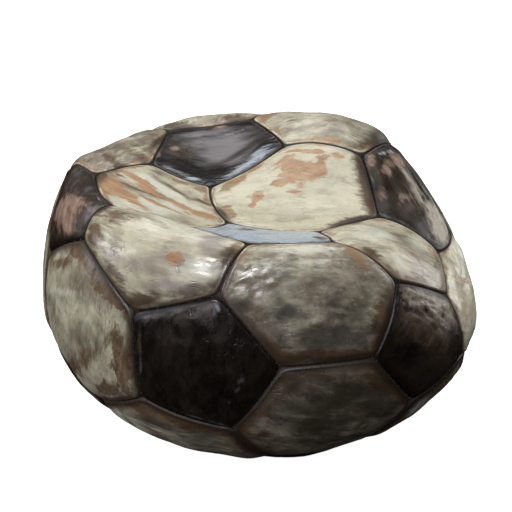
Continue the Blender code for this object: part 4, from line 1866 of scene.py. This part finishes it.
# for each panel and mark: x, y, half length, half width, and the turn and the strength of each patch
PATCHES = {
    # the wash over the whole of this panel is a painted reflection, pale blue-grey on the dark leather
    "dark_crown": {
        WORN: [(-20, -20, 7, 4, -40, 0.9), (24, 2, 3, 10, 0, 0.7)],
        GRIME_AND_SHADE: [(-12, 12, 10, 3, 20, 0.5), (12, -6, 9, 2.5, 40, 0.45), (17, 17, 8, 3, -20, 0.6)],
        WASH_AND_SHEEN: [(0, 0, 40, 40, 0, 1.6)],
    },
    # the wash and blush patches along the left edge are a painted sheen, and the smallest wash patch is a
    # painted glint
    "dark_upper_1": {
        WORN: [(-19, -22, 6.2, 1.6, -27, 0.75), (-27, -5, 9.3, 1.4, -86, 0.6)],
        WASH_AND_SHEEN: [(-29, -8, 15.4, 1.4, -88, 0.85), (-26, 20, 2.4, 0.9, -1, 1.1)],
        BLUSH_AND_SHEEN: [
            (-29, -5, 17.3, 2.1, -88, 1.3), (-27, -15, 5.6, 2.7, -72, 0.6), (-23, 18, 6.8, 2.4, 6, 0.35),
            (14, 13, 3.1, 1.4, -60, 0.6), (19, 7, 3.1, 1.4, -42, 0.6), (10, 17, 2.2, 1.4, -88, 0.5),
            (-8, -26, 13.2, 1, -26, 0.5), (-27, 14, 6.5, 2.4, 89, 0.7), (26, -10, 16.1, 0.9, 49, 0.6),
        ],
    },
    # the thin wash patches are a painted highlight along the left edge, and the chalk on the crumpled top is
    # paler leather with painted highlights on its ridges
    "dark_upper_2": {
        WORN: [(-14, 7, 19.5, 6, 18, 0.9), (-6, 5, 19.7, 7.1, 22, 0.9), (8, 10, 11.6, 10.4, 75, 0.6)],
        GRIME_AND_SHADE: [(-12, 16, 7.6, 1.9, 76, 0.45), (-16, 15, 4.4, 1.1, 18, 0.4), (-18, -12, 13.5, 8.2, 24, 0.9)],
        WASH_AND_SHEEN: [(-29, 11, 8.1, 0.8, 83, 0.75), (-29, -6, 10.2, 0.8, -88, 0.75)],
        BLUSH_AND_SHEEN: [(2, 13, 22.8, 9.6, 27, 0.5)],
        CHALK_AND_HIGHLIGHT: [(-9, 20, 27.4, 7.6, 16, 0.6), (3, 18, 16.4, 7.5, 31, 0.85), (-21, 20, 7, 2, -4)],
    },
    # the chalk is painted light on a bulge that faces the lamps, and the thin wash patches are painted
    # highlights along the edges
    "dark_upper_3": {
        TAN: [
            (9, 30, 5, 2.8, -21, 0.6), (15, 12, 9.8, 3.1, -58, 0.8), (6, 21, 5.4, 2.6, -52, 0.8),
            (-12, 24, 5.2, 2.7, -1, 0.85), (-6, 9, 7.8, 2.8, -52, 0.6), (-8, 9, 6.8, 3, -48, 0.5),
        ],
        WORN: [(2, 9, 7.2, 2.5, -51, 0.7), (-15, 6, 10.7, 6.7, 8, 0.7), (-13, 6, 10.1, 7.7, -9, 0.9)],
        GRIME_AND_SHADE: [
            (-22, 2, 10.4, 7.1, -15, 0.8), (-8, 26, 15.6, 4.9, -54, 0.8), (-24, 15, 10.3, 8.3, 47, 0.8),
            (-13, 9, 10.9, 9, -27, 0.5), (-26, -19, 6.7, 2.7, -15, 0.8), (-17, 2, 11.9, 5.2, -23, 0.9),
        ],
        STAIN_AND_SHADE: [(-15, 2, 10.4, 8.1, -24), (-8, 15, 18.5, 11.9, 9, 1.2)],
        WASH_AND_SHEEN: [(18, 18, 8.6, 1.1, -63, 0.7), (-7, 28, 15, 0.6, 20, 0.35), (-28, 15, 9.8, 1.3, -90, 0.55)],
        CHALK_AND_HIGHLIGHT: [(-1, -4, 10.5, 4.7, 50, 0.75), (-5, -17, 10.6, 8.7, 30, 1.3), (9, 4, 10.7, 3.3, 58, 0.7)],
    },
    # the blush is a painted sheen, and the wash patches are a painted sheen on the rolled edges
    "dark_upper_4": {
        TAN: [(19, 12, 2.4, 1.7, -89, 0.8), (20, -20, 3.6, 2.2, 56, 0.85), (20, 24, 4.3, 1.9, -34, 0.75)],
        GRIME_AND_SHADE: [(-8, -12, 15.2, 2.5, 75, 0.9), (3, 19, 15, 3.1, 21, 0.5)],
        STAIN_AND_SHADE: [(17, 10, 10.1, 7.1, -82), (25, 10, 7.4, 4.7, -77, 0.8)],
        WASH_AND_SHEEN: [(13, -16, 14.3, 2.8, 48, 0.3), (-23, -6, 15.9, 4.7, -80, 0.95), (-8, 25, 19.3, 2.7, 15, 0.6)],
        BLUSH_AND_SHEEN: [
            (5, -10, 14.7, 10.3, 28, 1.1), (-18, -2, 10.7, 6.8, -61, 0.7), (20, -11, 14.6, 3.6, 58, 0.9),
            (-1, -2, 9.9, 5.6, 67, 0.8), (16, -19, 8.2, 3.3, 45, 0.9), (-8, -4, 8.1, 6.3, 0, 0.8),
        ],
    },
    # the thin wash patches are painted highlight lines along the edges
    "dark_upper_5": {
        TAN: [(5, 8, 15.5, 8.1, -44, 0.95), (12, 21, 7.6, 6.6, 22, 0.9), (13, 9, 9.8, 7.6, -7, 0.6)],
        WORN: [(6, 16, 20.6, 15, 3, 0.8)],
        STAIN_AND_SHADE: [(-13, -2, 25.3, 12.1, 7, 0.9)],
        WASH_AND_SHEEN: [(-24, 15, 18.6, 1.1, 77, 0.5), (-2, 30, 9.6, 0.6, 23, 0.5)],
        BLUSH_AND_SHEEN: [(-5, 28, 14, 6, 25, 0.9), (-13, -2, 27, 19.6, -4, 0.4)],
    },
    # the wash patches are a painted sheen, and the grime and stain patches are partly painted shade
    "pale_crown_1": {
        TAN: [(31, 16, 4.4, 1, -55, 0.7)],
        WORN: [(4, -33, 10.2, 4.5, -31, 1.1)],
        GRIME_AND_SHADE: [
            (-12, -3, 14, 8.4, 62, 0.55), (-2, -9, 10.1, 5.5, 61, 0.35), (-29, 22, 28.5, 3.3, 56, 1.2),
            (-35, -16, 12.9, 3.4, -48), (-9, 37, 10.6, 3.1, 1, 0.9), (-4, 19, 9.2, 5.9, 32, 0.85),
            (-24, 10, 26.9, 8, 58, 0.9), (-13, -15, 11.7, 7.9, -57, 0.35), (-20, -2, 11.2, 4.6, 57, 0.7),
            (12, 34, 7, 4.2, -3, 1.2),
        ],
        STAIN_AND_SHADE: [
            (30, 4, 4.3, 3.9, -15, 0.4), (5, 29, 5.3, 3.9, -46, 0.95), (-31, -17, 13, 5.4, -56, 1.2),
            (-28, 21, 27.3, 3.8, 57, 1.4), (-37, -11, 11, 5.8, -50, 1.1), (-10, 35, 8.1, 3.4, -2),
            (11, 30, 6.7, 4.1, -83, 0.8),
        ],
        WASH_AND_SHEEN: [
            (21, -14, 17.3, 7.3, 59, 0.8), (23, 18, 8, 7.4, 50, 0.5), (10, -7, 13.8, 6.1, 66, 0.6),
            (22, 8, 10.5, 5.3, 51, 0.6), (19, 10, 13, 5, 50, 0.4), (21, 15, 9, 3, 65, 0.8),
            (21, 0, 4.6, 3.9, -54, 0.8),
        ],
        BLUSH_AND_SHEEN: [
            (29, 3, 5.4, 5.1, 15, 0.5), (-8, 27, 7.3, 4.6, 56, 0.95), (3, 8, 8.4, 7.1, 66, 0.45),
            (-4, 18, 7.6, 5.3, 57, 0.8), (10, 24, 9.2, 5.5, -7, 0.7),
        ],
    },
    "pale_crown_2": {
        TAN: [(-30, 4, 8.1, 4.2, 88, 0.6), (25, -13, 8, 5, 60, 0.6)],
        WORN: [(-18, -19, 8.3, 4, -82, 0.6)],
        STAIN_AND_SHADE: [
            (29, 17, 7.9, 3.4, -66, 0.7), (2, 33, 9.5, 3.8, -31, 0.6), (-13, 1, 10.1, 6.6, -87, 0.4),
            (13, 19, 14.7, 3.6, -30, 0.6), (-26, 15, 27.9, 3.5, 44, 0.7), (-1, -34, 15, 4.2, 61, 0.8),
        ],
        WASH_AND_SHEEN: [
            (19, -5, 12.7, 9.4, -49), (9, -8, 16.1, 8.7, 80, 1.2), (1, -36, 10.8, 6.3, 76),
            (-19, 2, 11, 7.8, 29, 0.7), (18, 30, 9.4, 4, -20, 0.5),
        ],
        BLUSH_AND_SHEEN: [(-5, 22, 14.7, 8, 40, 0.4), (-3, 18, 17.1, 7.1, 29, 0.8)],
        CHALK_AND_HIGHLIGHT: [(1, 20, 32.9, 12.2, 26, 0.5)],
    },
    # the stain patches along the edges are partly painted shade
    "pale_crown_3": {
        TAN: [
            (-22, 2, 7.7, 4.5, 12), (-12, 4, 8.5, 6, 6), (-8, -2, 3.7, 2.9, 35), (-14, 9, 6.5, 4.1, 3),
            (-15, 14, 6, 3, -3), (-21, 17, 4.5, 1.9, -57, 0.9), (0, -13, 4.4, 2.7, -10),
            (5, -16, 4.8, 2.1, -31, 0.9), (-2, 1, 4, 2.1, 75, 0.6), (-29, 10, 10.7, 1.8, 61),
            (-22, 24, 3.1, 2, 57), (-23, -21, 5.5, 3.2, -40, 0.8), (-32, -11, 4, 2.6, -85, 0.7),
        ],
        WORN: [
            (-19, -24, 9.5, 5.2, -31, 1.1), (-31, -14, 5.5, 3.9, -22, 1.05), (10, -33, 7.5, 4.7, -15),
            (-7, 38, 12.3, 2.7, -1, 1.2), (9, 36, 13, 2.6, -4, 1.2), (31, 22, 16, 1.7, -60),
        ],
        STAIN_AND_SHADE: [(12, -37, 6.6, 3.7, -3, 0.9), (0, 35, 22.5, 4.6, -1, 1.15), (29, 23, 15.3, 4.3, -61, 1.1)],
    },
    "pale_crown_4": {
        TAN: [
            (-15, -14, 14.9, 7.4, -38), (-5, 5, 10.3, 2.9, -17), (13, 1, 12, 3.5, -13),
            (-27, -5, 12.1, 6.6, -55), (-17, 12, 12.3, 3.1, -12, 0.9), (27, -2, 11.7, 3.2, 23),
            (4, -9, 11, 2.7, -10, 0.9), (-12, 5, 10.9, 1.5, -3, 0.85), (-36, -4, 9.2, 3.5, -48, 0.9),
            (-32, -18, 9.3, 5.2, 33, 0.9),
        ],
        WORN: [(3, 31, 13.4, 4, -9, 0.9), (22, 32, 7, 4.8, 26)],
        STAIN_AND_SHADE: [
            (2, 3, 12.5, 4.5, 6, 0.9), (-14, 1, 12.1, 1.9, -4), (7, 17, 14.4, 1.9, -15),
            (23, 14, 9.4, 2.1, 13, 0.9), (-27, 10, 8.2, 2.4, 6, 0.8), (-36, 1, 8.6, 6.8, 59, 0.8),
            (-27, -33, 6.6, 3.6, -54, 0.8), (-12, 30, 5.8, 4.2, -37, 0.8), (-30, 13, 9.6, 4.1, 21, 0.5),
        ],
        WASH_AND_SHEEN: [
            (-5, -20, 16.6, 9.9, 31, 1.4), (2, 13, 16.3, 3.3, -17, 1.3), (-10, 16, 10, 2.3, -2, 1.3),
            (-22, 11, 8.8, 1.9, -14, 1.3), (8, 8, 15.4, 2.3, -13, 1.3), (20, 5, 12.4, 3.8, -2),
            (12, -3, 11.4, 5.9, -7, 0.9),
        ],
        BLUSH_AND_SHEEN: [(20, 5, 10.9, 6, 50, 0.4)],
    },
    # the first wash patch is a painted highlight, and the blush, grime and stain patches are partly painted
    # shade
    "pale_crown_5": {
        TAN: [(-8, -13, 4.6, 3.5, -54, 0.8)],
        WORN: [(2, 25, 6.1, 3.1, -29, 0.7), (8, -35, 5.2, 2.9, 4)],
        GRIME_AND_SHADE: [
            (-26, -19, 21.8, 2.4, -61, 0.75), (-34, -8, 9.7, 2.6, -57, 0.6), (-23, -36, 4.7, 3.1, -49, 0.6),
        ],
        STAIN_AND_SHADE: [
            (4, 21, 13.2, 4.5, -26, 0.8), (5, 23, 10.7, 3.4, -13), (5, -33, 7, 4.2, -13, 1.1),
            (-3, -34, 5.9, 3.3, -7, 0.9), (-23, -25, 11.8, 2.9, -61), (-37, -3, 10, 3, -57, 1.1),
            (-29, 14, 13.8, 3.3, 53, 0.8), (-16, 30, 9.5, 5.5, 24), (16, -25, 12.1, 4.4, 15, 0.7),
            (27, -22, 9.1, 3.4, 40, 0.8), (8, 37, 9.6, 5.9, -12, 0.9), (5, 27, 10.2, 5.5, -2, 0.8),
        ],
        WASH_AND_SHEEN: [(-9, -29, 8.3, 3.6, -55), (26, -7, 31, 12.8, 60, 1.1), (9, 6, 10.6, 6.1, -35, 0.7)],
        BLUSH_AND_SHEEN: [
            (-18, 16, 11.1, 4.6, 21, 0.9), (-10, -11, 10.2, 5.3, -60), (-15, -7, 14.6, 6.3, -61, 0.7),
            (-19, -29, 11.2, 4.2, -72, 0.8), (-23, 5, 8.9, 6.5, -37, 0.7), (10, -24, 15.1, 6.4, 18, 0.9),
            (-25, -12, 12.4, 3.4, -67, 0.9), (-19, -24, 13.9, 3.2, -61, 0.6),
        ],
    },
    # the thin wash patch along the edge is a painted highlight line
    "pale_lower_1": {
        STAIN_AND_SHADE: [(-2, -31, 14.9, 6.9, 32, 0.8)],
        WASH_AND_SHEEN: [(-11, -43, 18, 2.6, 4, 1.1), (-16, -29, 10.8, 7.4, 49, 0.7)],
    },
    "pale_lower_3": {
        STAIN_AND_SHADE: [(-37, -3, 11.1, 5.7, 64), (-21, -27, 8.8, 7, 84, 0.9)],
    },
    "pale_lower_5": {
        GRIME_AND_SHADE: [
            (-25, -4, 16.1, 12.8, 67, 0.7), (8, -25, 9.5, 3.2, 65, 0.8), (-15, -21, 13.9, 5.3, -50, 0.9),
            (-28, -11, 6.5, 3.1, -80, 0.7), (7, -38, 14.1, 2.2, 11, 0.8),
        ],
        STAIN_AND_SHADE: [(-23, -23, 27.8, 5.3, -51, 1.1)],
        WASH_AND_SHEEN: [
            (10, -29, 16.6, 6.4, 40, 0.9), (9, -17, 15.7, 6.2, 42, 0.9), (-18, -12, 12.7, 8.2, -28, 0.6),
            (-25, -1, 7.3, 5, -43, 0.5),
        ],
    },
    # the large grime patch is partly painted shade over the whole panel, and the thin wash and blush along
    # its upper edge are a painted highlight
    "pale_upper_1": {
        WORN: [(-2, -36, 23.5, 1.7, -2, 1.15), (28, -22, 13.4, 1.9, 62, 0.8)],
        GRIME_AND_SHADE: [
            (3, -16, 42.1, 35.3, -43, 0.85), (-8, -22, 18.5, 8.4, -13), (-23, -12, 17.4, 8.8, -72, 1.2),
            (33, -13, 12.9, 4, 67, 0.9), (28, -21, 10.5, 5.8, 68), (29, 1, 6.8, 4.8, -33, 0.7),
        ],
        STAIN_AND_SHADE: [(30, -19, 14, 2.7, 63), (-23, -23, 13.1, 3.1, -54, 0.9)],
        WASH_AND_SHEEN: [
            (11, -37, 11.6, 0.5, -1, 0.5), (20, -15, 12, 3.7, -47, 0.35), (27, -4, 9.9, 3, -43, 0.45),
            (4, -12, 8.6, 3.1, -44, 0.3), (-26, -14, 2.5, 1.7, -40, 0.4), (17, -36, 5.4, 0.8, -2, 0.8),
        ],
        BLUSH_AND_SHEEN: [(11, -36, 13.3, 1.1, -2)],
    },
    # the large wash and chalk patches lighten the whole panel, partly as painted light
    "pale_upper_2": {
        TAN: [(24, -35, 15.7, 1, 25, 0.8), (-7, -18, 12.9, 1.9, -77, 0.8), (33, -21, 10.6, 2.2, 44, 0.7)],
        WASH_AND_SHEEN: [(3, -20, 59.9, 13.1, -29, 0.7), (25, -22, 21.9, 15.6, -3, 0.9)],
        BLUSH_AND_SHEEN: [(17, -10, 14.4, 8.8, -28, 0.4)],
        CHALK_AND_HIGHLIGHT: [(15, -20, 35.4, 18.1, -26, 0.75)],
    },
    "pale_upper_3": {
        TAN: [(-1, -36, 10.2, 3.7, 4, 0.85)],
        WORN: [(-35, 0, 11.6, 3.8, 61, 0.9)],
        GRIME_AND_SHADE: [(9, -20, 19.8, 6.1, 54, 0.45), (35, -10, 18.9, 7.7, 61, 1.1)],
        STAIN_AND_SHADE: [(35, -15, 14.5, 2.3, 55), (32, -19, 18, 2.8, 45)],
        WASH_AND_SHEEN: [(-17, -16, 13.2, 7.4, -15, 0.5)],
        BLUSH_AND_SHEEN: [(2, -31, 8.7, 5.7, 6, 0.6), (1, -38, 9.7, 1.7, 6, 0.8)],
    },
    "pale_upper_4": {
        STAIN_AND_SHADE: [
            (-3, -27, 16.1, 3.9, -76, 0.9), (21, -19, 8.3, 3.6, -56, 0.7), (34, -13, 17.4, 2.4, 44, 0.9),
            (13, -23, 18.7, 5.2, -64, 0.6),
        ],
        BLUSH_AND_SHEEN: [(6, -23, 28.6, 10.1, -75, 0.45)],
    },
    "pale_upper_5": {
        WORN: [
            (12, -35, 10.7, 5.7, 23, 1.25), (-5, -35, 12.4, 4.9, -2, 1.25), (-29, -11, 14.3, 4.5, -58, 1.1),
            (-27, 11, 13.3, 4.5, 69, 0.9),
        ],
        GRIME_AND_SHADE: [(-5, -10, 10.1, 6, 70, 0.3), (-36, 9, 9.3, 6.8, 86, 0.6)],
        STAIN_AND_SHADE: [
            (-4, -36, 13.4, 4.4, -2, 0.8), (25, -16, 9.7, 2.9, 53), (-20, -18, 8, 4.2, 59, 0.6),
            (-3, 24, 35.4, 4.3, 69, 0.9),
        ],
        WASH_AND_SHEEN: [(18, -5, 23.8, 2.1, 44, 0.6)],
        BLUSH_AND_SHEEN: [(-15, -12, 7.9, 4.6, 71, 0.4)],
    },
}

WEAR = Wear(
    patches=PATCHES,
    brush={
        "pale_crown_1": (55, 1.8), "pale_crown_5": (-77, 2.5), "pale_upper_5": (-77, 3),
        "pale_upper_1": (-22, 2), "pale_crown_4": (-13, 7), "pale_crown_3": (77, 2.2), "pale_upper_3": (4, 3),
        "pale_crown_2": (-19, 4), "pale_upper_2": (-25, 2), "pale_lower_5": (-47, 3),
        "dark_upper_1": (-27, 2), "dark_upper_4": (46, 3), "dark_upper_3": (48, 3), "dark_upper_2": (73, 2),
        "dark_upper_5": (37, 3), "dark_crown": (-75, 5), "pale_upper_4": (8, 3),
    },
    # soil is dirt, and it also widens and darkens the painted shade along the seams
    soil={
        "dark_upper_1": 0.2, "dark_upper_4": 0.0, "dark_upper_2": 1.1, "dark_upper_3": 1.3,
        "dark_upper_5": 1.3, "pale_crown_1": 0.75, "pale_crown_2": 0.4, "pale_crown_3": 0.0,
        "pale_crown_4": 0.3, "pale_crown_5": 0.25, "pale_upper_1": 1.0, "pale_upper_2": 0.0,
        "pale_upper_3": 0.5, "pale_upper_4": 0.8, "pale_upper_5": 0.6, "pale_lower_1": 1.0,
        "pale_lower_5": 0.85,
    },
)


def main() -> None:
    """Builds the ball and the studio."""
    logging.basicConfig(level=logging.INFO, format="%(name)s: %(message)s")
    Football(SlackBall(), SeamEdge(), RELIEF, WEAR).build()
    Studio().build()


if __name__ == "__main__":
    main()
